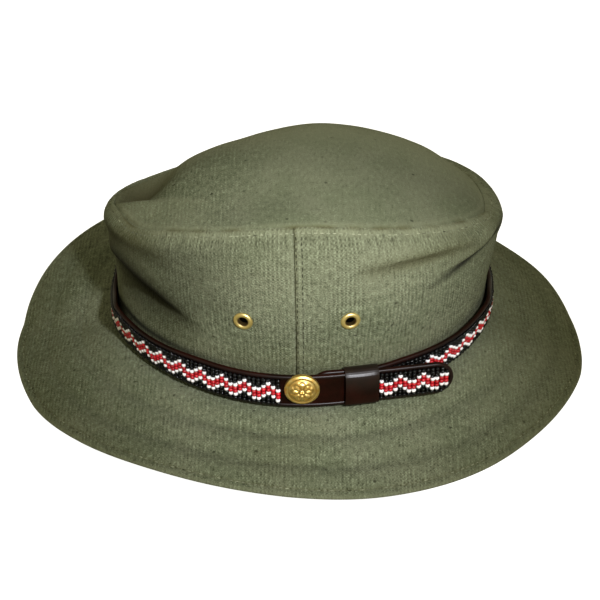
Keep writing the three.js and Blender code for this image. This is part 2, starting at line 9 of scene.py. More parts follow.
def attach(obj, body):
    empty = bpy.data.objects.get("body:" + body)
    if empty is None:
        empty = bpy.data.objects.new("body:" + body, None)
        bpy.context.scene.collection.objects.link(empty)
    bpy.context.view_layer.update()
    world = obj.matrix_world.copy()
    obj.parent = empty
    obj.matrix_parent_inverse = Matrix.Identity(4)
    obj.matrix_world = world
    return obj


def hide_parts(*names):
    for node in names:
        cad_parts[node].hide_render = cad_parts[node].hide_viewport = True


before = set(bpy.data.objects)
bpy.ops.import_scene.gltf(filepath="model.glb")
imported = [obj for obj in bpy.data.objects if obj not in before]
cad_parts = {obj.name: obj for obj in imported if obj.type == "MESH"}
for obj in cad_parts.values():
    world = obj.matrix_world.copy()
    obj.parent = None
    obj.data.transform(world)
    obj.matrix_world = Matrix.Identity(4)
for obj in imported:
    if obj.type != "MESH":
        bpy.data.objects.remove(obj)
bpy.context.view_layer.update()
mm = 0.001
fullTurn = 2 * math.pi
upward = np.array([0.0, 0.0, 1.0])
scene = bpy.context.scene
scene.view_settings.view_transform = "Standard"
print("frame loaded,", len(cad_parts), "nodes")


# what can be changed for a piece, with crown.cloth short for crown["cloth"]
class Settings(dict):
    __getattr__ = dict.__getitem__


def setAll(thing, values):
    for key, value in values.items():
        setattr(thing, key, value)


# one wire of a material, so that its sums read as sums
class Wire:
    def __init__(self, bench, socket):
        self.bench = bench
        self.socket = socket

    def sum(self, operation, *terms):
        return self.bench.node("ShaderNodeMath", {"operation": operation}, dict(enumerate(terms)))

    def __add__(self, other):
        return self.sum("ADD", self, other)

    def __sub__(self, other):
        return self.sum("SUBTRACT", self, other)

    def __rsub__(self, other):
        return self.sum("SUBTRACT", other, self)

    def __mul__(self, other):
        return self.sum("MULTIPLY", self, other)

    __radd__ = __add__
    __rmul__ = __mul__

    def sine(self):
        return self.sum("SINE", self)

    def between(self, low, high):  # 0 below low, 1 above high
        settings = {"interpolation_type": "SMOOTHSTEP", "clamp": True}
        return self.bench.node("ShaderNodeMapRange", settings, {0: self, 1: low, 2: high, 3: 0.0, 4: 1.0})


# a material on the bench
class Bench:
    def __init__(self, name):
        self.material = bpy.data.materials.new(name)
        self.material.use_nodes = True
        self.tree = self.material.node_tree
        self.tree.nodes.clear()

    def node(self, kind, settings=None, inputs=None, output=0):
        made = self.tree.nodes.new(kind)
        setAll(made, settings or {})
        for key, value in (inputs or {}).items():
            if isinstance(value, Wire):
                self.tree.links.new(value.socket, made.inputs[key])
            else:
                made.inputs[key].default_value = value
        if isinstance(output, tuple):
            return [Wire(self, made.outputs[i]) for i in output]
        return Wire(self, made.outputs[output]) if len(made.outputs) else None

    def place(self):  # where a point is on the hat, in metres
        return self.node("ShaderNodeTexCoord", output="Object")

    def mark(self, name):
        return self.node("ShaderNodeAttribute", {"attribute_name": name}, output="Fac")

    def stretch(self, vector, amounts):
        return self.node("ShaderNodeVectorMath", {"operation": "MULTIPLY"}, {0: vector, 1: amounts})

    def speckle(self, vector, scale, detail=2.0, rough=0.5):
        inputs = {"Vector": vector, "Scale": scale, "Detail": detail, "Roughness": rough}
        return self.node("ShaderNodeTexNoise", None, inputs)

    def mix(self, share, first, second):  # by number, as the node has sockets of one name for other kinds
        return self.node("ShaderNodeMix", {"data_type": "RGBA"}, {0: share, 6: first, 7: second}, 2)

    def bump(self, height, strength, distance):
        inputs = {"Strength": strength, "Distance": distance, "Height": height}
        return self.node("ShaderNodeBump", None, inputs)

    def finish(self, inputs):
        surface = self.node("ShaderNodeBsdfPrincipled", None, inputs)
        self.node("ShaderNodeOutputMaterial", None, {"Surface": surface})
        return self.material


# a colour from 0 to 255, as the renderer counts light
def paint(red, green, blue):
    def linear(c):
        c /= 255
        return c / 12.92 if c <= 0.04045 else ((c + 0.055) / 1.055) ** 2.4
    return (linear(red), linear(green), linear(blue), 1.0)


# worn canvas: an upright rib, finer cross threads, dark slubs, faded patches, dirt and painted shade in the
# folds, pale wear and painted light
canvasLook = Settings(
    green=paint(101, 107, 82), faded=paint(113, 117, 93),
    layers=Settings(  # colour and strength, in the order they are laid on
        thread=(paint(155, 163, 132), 0.7), shadow=(paint(43, 46, 27), 0.72),
        # the pale wear layer is real wear, and painted light on the upper wall and on the top
        fleck=(paint(38, 38, 24), 0.8), wear=(paint(140, 143, 114), 0.55),
        # the brown soil layer is dirt, and painted shade in folds, hollows and low on the wall; the darkest
        # layer is painted shade only
        soil=(paint(76, 70, 32), 0.75), dark=(paint(22, 22, 9), 0.95)),
    ribPitch=1.85, pickPitch=1.6, ribWander=5.0, pickWander=8.0,
    ribs=0.24, crossings=0.3, slubsUp=1.8, slubsAcross=0.5, fibre=2.4,
    bump=0.7, bumpDepth=0.0006,
)


def canvasMaterial(look):
    b = Bench("wornCanvas")
    cloth = b.node("ShaderNodeUVMap", {"uv_map": "UVMap"})  # millimetres of flat cloth, ribs along v
    u, v = b.node("ShaderNodeSeparateXYZ", None, {0: cloth}, (0, 1))
    wander = b.speckle(cloth, 0.16, 3.0)
    ribbed = b.mark("rib")
    ribs = (u * (fullTurn / look.ribPitch) + wander * look.ribWander).sine() * ribbed
    ribs = ribs * b.speckle(cloth, 0.07).between(0.2, 0.7)
    picks = (v * (fullTurn / look.pickPitch) + wander * look.pickWander).sine()
    slubsUp = b.speckle(b.stretch(cloth, (0.55, 0.32, 1.0)), 1.0)
    slubsAcross = b.speckle(b.stretch(cloth, (0.09, 0.95, 1.0)), 1.0)
    fibre = b.speckle(cloth, 1.5, 2.0, 0.6)
    patches = b.speckle(cloth, 0.022, 3.0, 0.6)
    weave = ribs * look.ribs + ribs * picks * look.crossings
    for speckles, key in ((slubsUp, "slubsUp"), (slubsAcross, "slubsAcross"), (fibre, "fibre")):
        weave = weave + (speckles - 0.5) * look[key]
    weave = weave * (ribbed * 0.6 + 0.5)
    spots = {"Vector": b.stretch(cloth, (0.052, 0.071, 1.0)), "Scale": 1.0, "Randomness": 1.0}
    near, tint = b.node("ShaderNodeTexVoronoi", {"voronoi_dimensions": "2D"}, spots, (0, 1))
    strong = b.node("ShaderNodeSeparateColor", None, {0: tint}).between(0.35, 0.85)
    shares = {
        "thread": weave.between(0.0, 0.8), "shadow": (weave * -1.0).between(0.0, 0.75),
        "fleck": (1.0 - (near + fibre * 0.05).between(0.045, 0.085)) * strong,
        # the marks: wear with painted light, dirt with painted shade, and painted shade alone
        "wear": b.mark("wear"), "soil": b.mark("soil"), "dark": b.mark("dark"),
    }
    colour = b.mix(patches.between(0.36, 0.66), look.green, look.faded)
    for key, (layer, strength) in look.layers.items():
        colour = b.mix(shares[key] * strength, colour, layer)
    return b.finish({
        "Base Color": colour, "Roughness": 0.93 - weave.between(0.0, 1.0) * 0.08,
        "Normal": b.bump(weave, look.bump, look.bumpDepth),
        "Specular IOR Level": 0.06, "Sheen Weight": 0.03, "Sheen Roughness": 0.6,
    })


leatherLook = Settings(brown=paint(34, 9, 4), dark=paint(18, 5, 2), edge=paint(19, 10, 9), grain=620.0)


def leatherMaterial(look):
    b = Bench("polishedLeather")
    place = b.place()
    grid = {"Vector": place, "Scale": look.grain}
    cells = b.node("ShaderNodeTexVoronoi", {"feature": "DISTANCE_TO_EDGE"}, grid)
    pores = b.speckle(place, look.grain * 2.2)
    cloud = b.speckle(place, 55.0, 3.0, 0.6)
    colour = b.mix(cloud.between(0.32, 0.7), look.dark, look.brown)
    grain = cells.between(0.0, 0.18) * 0.6 + pores * 0.5
    return b.finish({
        "Base Color": b.mix(b.mark("wear") * 0.6, colour, look.edge), "Roughness": 0.3 + cloud * 0.2,
        "Normal": b.bump(grain, 0.2, 0.00018),
        "Specular IOR Level": 0.1, "Coat Weight": b.mark("gloss"), "Coat Roughness": 0.36,
    })


# glass seed beads, each a touch lighter or darker than the next
beadLook = Settings(  # darkest and lightest, roughness, shine
    black=(paint(1, 1, 2), paint(6, 6, 8), 0.1, 0.3),
    white=(paint(240, 235, 232), paint(255, 253, 251), 0.22, 0.5),
    red=(paint(158, 9, 22), paint(206, 24, 38), 0.2, 0.5),
)


def beadMaterial(name):
    low, high, rough, shine = beadLook[name]
    b = Bench(name + "Beads")
    swirl = b.speckle(b.place(), 900.0)
    return b.finish({
        "Base Color": b.mix(b.mark("tone"), low, high), "Roughness": rough + swirl * 0.12,
        "Specular IOR Level": shine, "Normal": b.bump(swirl, 0.08, 0.0001),
    })


brassLook = Settings(
    gold=paint(255, 226, 146), deep=paint(246, 196, 100), pale=paint(255, 238, 166), tarnish=paint(58, 32, 9))


def brassMaterial(look):
    b = Bench("agedBrass")
    place = b.place()
    cloud = b.speckle(place, 420.0, 3.0, 0.6)
    scuffs = b.speckle(b.stretch(place, (900.0, 900.0, 5200.0)), 1.0)
    colour = b.mix(cloud.between(0.3, 0.72), look.deep, look.gold)
    colour = b.mix(b.mark("pale"), colour, look.pale)
    # tarnish in the hollows, and painted shade inside the eyelet barrels
    colour = b.mix(b.mark("soil") * 0.9, colour, look.tarnish)
    return b.finish({
        "Base Color": colour, "Metallic": 1.0, "Roughness": 0.34 + cloud * 0.16 + b.mark("soil") * 0.2,
        "Normal": b.bump(scuffs + cloud, 0.10, 0.0002),
    })


threadLook = Settings(light=paint(172, 176, 146), dark=paint(46, 47, 30))


def threadMaterial(look):
    b = Bench("sewingThread")
    twist = b.speckle(b.place(), 1500.0)
    colour = b.mix(b.mark("tone"), look.dark, look.light)
    return b.finish({
        "Base Color": b.mix(twist.between(0.45, 0.8) * 0.35, colour, look.dark), "Roughness": 0.8,
        "Normal": b.bump(twist, 0.4, 0.0002), "Specular IOR Level": 0.25,
    })


# a pale floor that glows, but not inside the hat, where a painted shadow darkens it
floorLook = Settings(
    halfLength=0.118, halfWidth=0.100, glow=1.0, pale=(0.93, 0.93, 0.93, 1.0),
    # the inside colour is a painted shadow under the hat
    paler=(0.95, 0.95, 0.95, 1.0), inside=(0.012, 0.006, 0.003, 1.0),
)


def floorMaterial(look):
    b = Bench("paleFloor")
    place = b.place()
    x, y = b.node("ShaderNodeSeparateXYZ", None, {0: place}, (0, 1))
    x, y = x * (1 / look.halfLength), y * (1 / look.halfWidth)
    pale = b.mix(b.speckle(place, 3.0), look.pale, look.paler)
    # under the hat the floor is painted dark and does not glow: a painted shadow
    outside = (x * x + y * y).between(0.75, 1.0)
    return b.finish({
        "Base Color": b.mix(outside, look.inside, pale), "Roughness": 0.9, "Specular IOR Level": 0.1,
        "Emission Strength": outside * look.glow,
    })


canvas = canvasMaterial(canvasLook)
leather = leatherMaterial(leatherLook)
brass = brassMaterial(brassLook)
thread = threadMaterial(threadLook)
print("materials ready")


# smooth curve through a table of pairs, and one that goes once round the hat
def curveThrough(table):
    xs, ys = (np.array(column, float) for column in zip(*table))
    before = np.maximum(np.arange(len(xs)) - 1, 0)
    after = np.minimum(np.arange(len(xs)) + 1, len(xs) - 1)
    slopes = (ys[after] - ys[before]) / (xs[after] - xs[before])

    def read(x):
        x = np.clip(x, xs[0], xs[-1])
        i = np.clip(np.searchsorted(xs, x) - 1, 0, len(xs) - 2)
        span = xs[i + 1] - xs[i]
        t = (x - xs[i]) / span
        rest = 1 - t
        start = (1 + 2 * t) * rest ** 2 * ys[i] + t * rest ** 2 * span * slopes[i]
        return start + t ** 2 * (3 - 2 * t) * ys[i + 1] - t ** 2 * rest * span * slopes[i + 1]
    return read


# azimuths: the same one between -180 and 180, and the one at a share of the way round
def turned(azimuth):
    return np.mod(np.asarray(azimuth, float) + 180, 360) - 180


def around(share):
    return share * 360 - 180


def curveAround(table):
    read = curveThrough([(a + by, h) for by in (-360, 0, 360) for a, h in table])
    return lambda azimuth: read(turned(azimuth))


def clamp(x):
    return np.clip(x, 0, 1)


def smooth(x, low, high):
    t = clamp((x - low) / (high - low))
    return t * t * (3 - 2 * t)


def bell(x, middle, width):
    return np.exp(-((x - middle) / width) ** 2)


# the parts of a mark: a ramp between two places and a streak along one
def ramp(x, strength, low, high):
    return strength * smooth(x, low, high)


def streak(x, strength, middle, width):
    return strength * bell(x, middle, width)


def ovalPoint(oval, azimuth):
    c, s = np.cos(np.radians(azimuth)), np.sin(np.radians(azimuth))
    power = np.where(s < 0, oval.leftPower, oval.rightPower)
    x = oval.halfLength * np.sign(c) * np.abs(c) ** (2 / power)
    y = oval.halfWidth * np.sign(s) * np.abs(s) ** (2 / power)
    t = math.radians(oval.turn)
    return np.stack([x * math.cos(t) - y * math.sin(t) + oval.shift, x * math.sin(t) + y * math.cos(t)], -1)


def ovalOutward(oval, azimuth):
    along = unit(ovalPoint(oval, azimuth + 0.5) - ovalPoint(oval, azimuth - 0.5))
    return np.stack([along[..., 1], -along[..., 0]], -1)


def fromOval(oval, azimuth, points):
    return np.linalg.norm(points[:, :2] - ovalPoint(oval, azimuth), axis=1)


# soft waves in layers, each with a height, a size and a place in the noise
def waves(points, *layers):
    return sum(height * np.array([noise.noise(Vector(p)) for p in points / size + lift])
               for height, size, lift in layers)


def unit(vectors):
    return vectors / np.maximum(np.linalg.norm(vectors, axis=-1, keepdims=True), 1e-9)


def added(add, scale=None, **settings):
    add(**settings)
    made = bpy.context.object
    if scale is not None:
        made.scale = scale
        bpy.ops.object.transform_apply()
    return made


# a grid with each of its points laid where the piece has it, and the marks that its material reads
def layGrid(name, columns, rows, place, marks, flat=None, spot=lambda u, v: (u, v)):
    piece = added(bpy.ops.mesh.primitive_grid_add, x_subdivisions=columns, y_subdivisions=rows, size=1)
    piece.name = piece.data.name = name
    mesh = piece.data
    spots = np.empty(len(mesh.vertices) * 3)
    mesh.vertices.foreach_get("co", spots)
    at = spot(spots[0::3] + 0.5, spots[1::3] + 0.5)
    points = place(*at)
    mesh.vertices.foreach_set("co", (points * mm).ravel())
    if flat is not None:
        corners = np.empty(len(mesh.loops), int)
        mesh.loops.foreach_get("vertex_index", corners)
        mesh.uv_layers["UVMap"].data.foreach_set("uv", flat(*at, points)[corners].ravel())
    for key, values in marks(*at, points).items():
        setMark(piece, key, values)
    mesh.update()
    return piece


def setMark(piece, key, values):
    mark = piece.data.attributes.new(key, "FLOAT", "POINT")
    values = np.broadcast_to(values, len(mark.data))
    mark.data.foreach_set("value", clamp(values).astype(np.float32))


def onOutline(outline, v):  # the outline's points that the rows of a grid lie on
    return outline[np.rint(v * (len(outline) - 1)).astype(int)].T


def pick(piece):
    bpy.ops.object.select_all(action="DESELECT")
    piece.select_set(True)
    bpy.context.view_layer.objects.active = piece


@contextmanager
def editing(piece, kind):
    pick(piece)
    bpy.ops.object.mode_set(mode="EDIT")
    bpy.ops.mesh.select_mode(type=kind)
    yield
    bpy.ops.object.mode_set(mode="OBJECT")


def choose(piece, kind, chosen):  # some faces or edges and no others
    with editing(piece, kind):
        bpy.ops.mesh.select_all(action="DESELECT")
    parts = piece.data.polygons if kind == "FACE" else piece.data.edges
    parts.foreach_set("select", chosen)


def deleteFaces(piece, chosen):
    choose(piece, "FACE", chosen)
    with editing(piece, "FACE"):
        bpy.ops.mesh.delete(type="FACE")


def close(piece, fill=None, outward=True):  # welds a grid's meeting sides and fills what is open
    with editing(piece, "EDGE"):
        bpy.ops.mesh.select_all(action="SELECT")
        bpy.ops.mesh.remove_doubles(threshold=2e-6)
        if fill:
            bpy.ops.mesh.select_all(action="DESELECT")
            bpy.ops.mesh.select_non_manifold()
            fill()
            bpy.ops.mesh.select_all(action="SELECT")
        if outward:
            bpy.ops.mesh.normals_make_consistent(inside=False)


def finishWith(piece, kind, **settings):
    pick(piece)
    modifier = piece.modifiers.new(kind.lower(), kind)
    setAll(modifier, settings)
    bpy.ops.object.modifier_apply(modifier=modifier.name)


def dress(piece, material, slot, *nodes, angle=None):
    if angle is not None:
        pick(piece)
        bpy.ops.object.shade_smooth_by_angle(angle=math.radians(angle))
    piece.data.materials.append(material)
    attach(piece, "root")
    if nodes:
        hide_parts(*nodes)


# the crown, sewn from two wall panels and a top
crown = Settings(
    cloth=1.1,
    base=Settings(halfLength=96, halfWidth=82.5, leftPower=2, rightPower=2, shift=1.7, turn=0),
    seam=Settings(halfLength=94, halfWidth=60, leftPower=2.05, rightPower=2.3, shift=0.5, turn=0),
    baseHeight=29.4, backLift=4, dips=[(180, 8, 14), (0, 6, 13)],  # azimuth, depth, degrees
    seamHeights=[(-180, 65), (-163, 71), (-147, 70.5), (-128, 78), (-90, 88), (-60, 82.4), (-40, 76.4),
                 (-20, 69.8), (0, 63.5), (45, 62.5), (90, 61.5), (130, 53.5), (155, 56)],
    rises=(0, 0.38, 0.55, 0.78, 0.93, 1),  # shares of the wall's height for the next four
    inset=(0, 0.04, 0.15, 0.42, 0.68, 1), frontBulge=(0, 0.2, 1.2, 3.0, 4.7, 0),
    backBulge=(0, 0.5, 2.4, 5.8, 8.3, 0), sideBulge=(0, 0.5, 3.4, 5.0, 3.8, 0),
    peak=96.6, middle=(8, 0), fall=2.8,
    hollows=[  # x, y, depth, length, width
        (-80, 8, 18, 16, 28), (-28, -38, 3.5, 42, 14), (62, -14, 3, 22, 26), (-48, 42, 6.5, 34, 30)],
    hollowEdge=10,
    ridge=((-93, -14), (-60, -30)), ridgeSoft=6,  # near edge of the first hollow
    seamLeft=-91.4, seamRight=90, lap=3, degree=1.676,  # millimetres for a degree round
    slope=1.12, topStitch=1.8, sideStitch=3.0, stain=0.35, stains=(1.3, 9, 4.9),
)
seamRise = curveAround(crown.seamHeights)
wallCurve = {key: curveThrough(zip(crown.rises, crown[key]))
             for key in ("inset", "frontBulge", "backBulge", "sideBulge")}

# creases in the wall: first, middle and last points, how the cloth laps, sinks, reaches, turns, hangs over,
# then its dirt and painted shade, its painted dark line, how far below and how wide, a broad painted shade
# and how soon the ends die away
creaseKeys = "azimuths heights lap sink reach step lip soil dark below wide shade tails".split()
creases = [Settings(zip(creaseKeys, row)) for row in (
    ((-179, -148, -116), (39, 48.5, 36.5), 2.4, 6.0, 17, 5.4, 0.4, 0.8, 1.0, 1, 7.0, 0.6, (0.25, 0.34)),
    ((-174, -148, -128), (58, 66, 68), 0.8, 1.8, 8, 4.0, 0.0, 0.7, 0.15, 2, 3.0, 0.0, (0.01, 0.01)),
    ((-2, -28, -56), (65, 63, 58), 0.8, 2.4, 12, 1.7, 1.2, 0.3, 1.1, (6.5, 3.8, 2.8), 1.9, 0.0, (0.4, 0.01)),
    ((-30, -54, -76), (68.5, 71.6, 72), 1.0, 1.9, 9, 2.4, 0.5, 0.75, 0.22, 2.2, 1.2, 0.0, (0.01, 0.01)),
    ((12, 38, 66), (40, 46, 38), 2.0, 3.6, 14, 3.2, 1.2, 0.5, 0.6, 3.6, 1.8, 0.1, (0.01, 0.01)),
    ((172, 146, 116), (39, 45, 36), 2.0, 4.0, 15, 3.2, 1.2, 0.5, 0.6, 3.6, 1.8, 0.1, (0.01, 0.01)),
)]
creaseLook = Settings(
    ends=0.8, lipSteps=1.3, soilDrop=0.8, soilWidth=2.4, crestSteps=2.2, crestWidth=2.2,
    shade=(1, -12, 12), shadeSoil=(0.4, -12, 14),
)


def baseHeight(azimuth):
    height = crown.baseHeight + crown.backLift * np.maximum(np.cos(np.radians(azimuth)), 0) ** 4
    return height - sum(depth * bell(turned(azimuth - dip), 0, width) for dip, depth, width in crown.dips)


def seamHeight(azimuth):
    return crown.baseHeight + seamRise(azimuth)


def creaseMove(azimuth, height):
    look = creaseLook
    move = dict.fromkeys(("out", "drop", "soil", "wear", "dark"), 0)
    for crease in creases:
        route = sorted(zip(crease.azimuths, crease.heights))
        below = sorted(zip(crease.azimuths, np.broadcast_to(crease.below, 3)))
        start, end = route[0][0], route[-1][0]
        step, wide, shade = crease.step, crease.wide, crease.shade
        first, last = crease.tails
        share = clamp((azimuth - start) / (end - start))
        fade = np.maximum(np.sin(math.pi * share), 0) ** look.ends
        fade = fade * smooth(share, 0, first) * smooth(1 - share, 0, last)
        above = height - curveThrough(route)(azimuth)
        side = smooth(above, -step, step)
        bent = side * crease.lap - (1 - side) * crease.sink
        move["out"] += fade * bell(above, 0, crease.reach) * bent
        move["drop"] += fade * crease.lip * bell(above, step, look.lipSteps * step)
        # dirt with painted shade just under each fold, and a broad painted shade further down
        move["soil"] += fade * crease.soil * bell(above, -look.soilDrop, look.soilWidth + wide)
        move["soil"] += fade * shade * streak(above, *look.shadeSoil)
        move["wear"] += fade * bell(above, look.crestSteps * step, look.crestWidth)
        # a painted dark line of shade under each fold, and a broad painted shade below it
        move["dark"] += np.sqrt(fade) * crease.dark * bell(above, -curveThrough(below)(azimuth), wide)
        move["dark"] += fade * shade * streak(above, *look.shade)
    return move


def wallPoint(azimuth, rise):
    azimuth = turned(azimuth)
    share = wallCurve["inset"](rise)[..., None]
    plan = ovalPoint(crown.base, azimuth) * (1 - share) + ovalPoint(crown.seam, azimuth) * share
    end = np.cos(np.radians(azimuth))
    endBulge = np.where(end < 0, wallCurve["frontBulge"](rise), wallCurve["backBulge"](rise))
    low = baseHeight(azimuth)
    height = low + (seamHeight(azimuth) - low) * rise
    move = creaseMove(azimuth, height - crown.baseHeight)
    out = move["out"] + wallCurve["sideBulge"](rise) * (1 - end ** 2) + endBulge * end ** 2
    plan = plan + ovalOutward(crown.base, azimuth) * out[..., None]
    return np.column_stack([plan, height - move["drop"]])


# how far the first hollow has begun, past the ridge that is its near edge
def beyondRidge(plan):
    start, end = np.array(crown.ridge, float)
    along = unit(end - start)
    beyond = (plan[:, 1] - start[1]) * along[0] - (plan[:, 0] - start[0]) * along[1]
    return smooth(beyond, 0, crown.ridgeSoft)


def topPoint(azimuth, reach):
    middle = np.array(crown.middle)
    plan = (ovalPoint(crown.seam, azimuth) - middle) * reach[:, None] + middle
    peak = crown.baseHeight + crown.peak
    height = peak + (seamHeight(azimuth) - peak) * reach ** crown.fall
    for i, (x, y, depth, length, width) in enumerate(crown.hollows):
        away = ((plan[:, 0] - x) / length) ** 2 + ((plan[:, 1] - y) / width) ** 2
        begun = beyondRidge(plan) if i == 0 else 1
        height = height - begun * depth * np.exp(-away) * (1 - reach ** crown.hollowEdge)
    return np.column_stack([plan, height])


def facing(surface, azimuth, v, turn=0.6, step=0.01):
    along = surface(azimuth + turn, v) - surface(azimuth - turn, v)
    across = surface(azimuth, np.minimum(v + step, 1)) - surface(azimuth, np.maximum(v - step, 0))
    return unit(np.cross(along, across))


# where the eyelets go through the wall, and their section: an outer lip, a neck and an inner lip
eyelets = Settings(
    sideways=24.9, leftRise=0.557, rightRise=0.46, outer=4.8, inner=2.45, nod=0.14,
    flat=0.25, flatEdges=(9.5, 5.2), flatReach=6, cut=0.9, columns=48,
    lip=1.0, lipMiddle=0.55, neck=[(4.1, 0.12), (3.05, 0.12), (3.05, -1.2), (3.9, -1.2)],  # radius, proud
    innerLip=0.7, innerMiddle=-1.3, innerShare=0.9,
    # tarnish towards the foot, and painted shade inside the barrel so that the hole reads dark
    footSoil=(0.3, 0.7, 0.1), holeSoil=(1.2, 0.5, 0), pale=0.6,
)


def eyeletPlace(side, sideways):
    turn = math.degrees(sideways / crown.base.halfLength)
    azimuth = crown.seamLeft + turn if side == "left" else crown.seamRight - turn
    azimuth, rise = np.array([azimuth]), np.array([eyelets[side + "Rise"]])
    out = facing(wallPoint, azimuth, rise, 2, 0.03)[0]
    return wallPoint(azimuth, rise)[0], unit(out - eyelets.nod * upward)


eyeletPlaces = {f"eyelet_{side}_{end}": eyeletPlace(side, way * eyelets.sideways)
                for side in ("left", "right") for end, way in (("front", -1), ("back", 1))}

# the wall's cloth: soft waves, puckers, and raised, stitched strips along its seams, then its marks, painted
# light and shade among them, each a strength with the ends of a ramp or the middle and width of a streak
wall = Settings(
    columns=250, rows=112, crowd=1.35,  # rows crowd together towards the top seam
    ribs=1.56,  # millimetres of cloth for a degree round
    waves=((0.55, 27, 3.1), (0.275, 12, 8.7)), calmLow=(0.16, 0.34), calmTop=(0.5, 9),
    pucker=(0.2, 3.6, 5.5), puckerFade=7, ridge=(0.5, 0.6, -0.6), ditch=(0.25, 0, 0.5), roll=(0.6, 0.8, 0),
    tuck=0.2, tuckEdges=(2.4, -0.1), tuckReach=60, sideRidge=(0.35, 1.2, -0.4), sideDitch=(0.22, 0, 0.7),
    sideStart=-1, sidePucker=(0.16, 4.2, 1.5), sideFade=6,
    # the upper wear is painted light, lighter up the wall; the seam, rubbed and crest wear is real
    upperWear=(0.3, 0.5, 0.85), seamWear=(0.7, 3.4, 1.2), rubbed=0.75, rubbing=(0.8, 5, 2.7), crestWear=0.35,
    # the low soil is painted shade, darker towards the band; the seam and side soil is dirt
    sideWear=(0.3, 1.6, 1.0), seamSoil=(0.8, 0, 0.7), sideSoil=(0.45, 0, 0.5), lowSoil=(0.6, 0.46, 0.06),
    # painted shade over the upper wall towards its left end, where it turns from the lamp
    lee=(0.42, 92, 130), leeEnd=(0.5, 160, 178), leeUpper=(38, 50), leeSeam=(1, 9),
    # a painted shadow on the wall just above the band, stronger towards the left end
    band=(1, 18.8, 1.7), bandDark=0.2, bandFront=(0.7, 100, 145),
)


def stain(points):
    return clamp(crown.stain + waves(points, crown.stains))


def wallLength(azimuth):
    return crown.slope * (seamHeight(azimuth) - baseHeight(azimuth))


def pastSeams(azimuth):  # millimetres into the back panel from each of its seams
    return [turned(past) * crown.degree for past in (azimuth - crown.seamLeft, crown.seamRight - azimuth)]


# a point of the finished wall: its slumped form, soft waves, raised seams and sunk stitch rows
def wallSurface(azimuth, rise, lapUnder):
    points = wallPoint(azimuth, rise)
    normals = facing(wallPoint, azimuth, rise)
    fromTop = (1 - rise) * wallLength(azimuth)
    move = smooth(rise, *wall.calmLow) * smooth(fromTop, *wall.calmTop) * waves(points, *wall.waves)
    move += waves(points, wall.pucker) * np.exp(-fromTop / wall.puckerFade) - ramp(fromTop, *wall.roll)
    row = fromTop - crown.topStitch
    move += ramp(row, *wall.ridge) - streak(row, *wall.ditch)
    for away in pastSeams(azimuth):
        if lapUnder:
            near = np.abs(away) < wall.tuckReach
            move -= ramp(-away, crown.cloth + wall.tuck, *wall.tuckEdges) * near
        else:
            row = away - crown.sideStitch
            move += (away > wall.sideStart) * (ramp(row, *wall.sideRidge) - streak(row, *wall.sideDitch))
        move += waves(points, wall.sidePucker) * bell(away, 0, wall.sideFade)
    points = points + normals * move[:, None]
    for middle, out in eyeletPlaces.values():
        apart = points - middle
        proud = apart @ out
        away = np.linalg.norm(apart - proud[:, None] * out, axis=1)
        share = smooth(away, *eyelets.flatEdges) * (np.abs(proud) < eyelets.flatReach)
        points = points - ((proud - eyelets.flat) * share)[:, None] * out
    return points


def wallFlat(azimuth, rise, points):
    return np.stack([azimuth * wall.ribs, rise * wallLength(azimuth)], -1)


def wallMarks(azimuth, rise, points):
    azimuth = turned(azimuth)
    low = baseHeight(azimuth)
    tall = (seamHeight(azimuth) - low) * rise
    creased = creaseMove(azimuth, low + tall - crown.baseHeight)
    fromTop = (1 - rise) * wallLength(azimuth)
    left, right = np.abs(pastSeams(azimuth))
    rubbed = wall.rubbed + waves(points, wall.rubbing)
    # painted shade over the upper wall towards its left end, clear of the top seam
    lee = ramp(-azimuth, *wall.lee) * (1 - ramp(-azimuth, *wall.leeEnd))
    lee *= smooth(tall, *wall.leeUpper) * smooth(fromTop, *wall.leeSeam)
    # a painted shadow along the wall just above the band
    shadowAboveBand = streak(tall, *wall.band) * (wall.bandDark + ramp(-azimuth, *wall.bandFront))
    return {
        # real wear along the seams and creases, and painted light over the upper wall
        "wear": ramp(rise, *wall.upperWear) + ramp(fromTop, *wall.seamWear) * rubbed
        + wall.crestWear * creased["wear"] + streak(left, *wall.sideWear),
        # dirt along the seams, painted shade in the folds, and painted shade darker towards the band
        "soil": creased["soil"] + stain(points) * streak(fromTop, *wall.seamSoil)
        + streak(np.minimum(left, right), *wall.sideSoil) + ramp(rise, *wall.lowSoil),
        # painted shade only: under the folds, towards the left end and above the band
        "dark": creased["dark"] + lee + shadowAboveBand,
        "rib": 1,
    }


def wallPanel(name, start, end, lapUnder, node):
    piece = layGrid(name, wall.columns, wall.rows, lambda azimuth, rise: wallSurface(azimuth, rise, lapUnder),
                    wallMarks, wallFlat, lambda u, v: (start + (end - start) * u, 1 - (1 - v) ** wall.crowd))
    middles = np.array([face.center for face in piece.data.polygons]) / mm
    apart = [np.linalg.norm(middles - middle, axis=1) for middle, out in eyeletPlaces.values()]
    deleteFaces(piece, np.min(apart, axis=0) < eyelets.inner + eyelets.cut)
    finishWith(piece, "SOLIDIFY", thickness=crown.cloth * mm)
    dress(piece, canvas, "canvas", node, angle=48)


wallPanel("crownBackCloth", crown.seamLeft, crown.seamRight, False, "crown_back_panel")
wallPanel("crownFrontCloth", crown.seamRight - crown.lap, crown.seamLeft + crown.lap + 360, True,
          "crown_front_panel")
print("crown walls sewn")

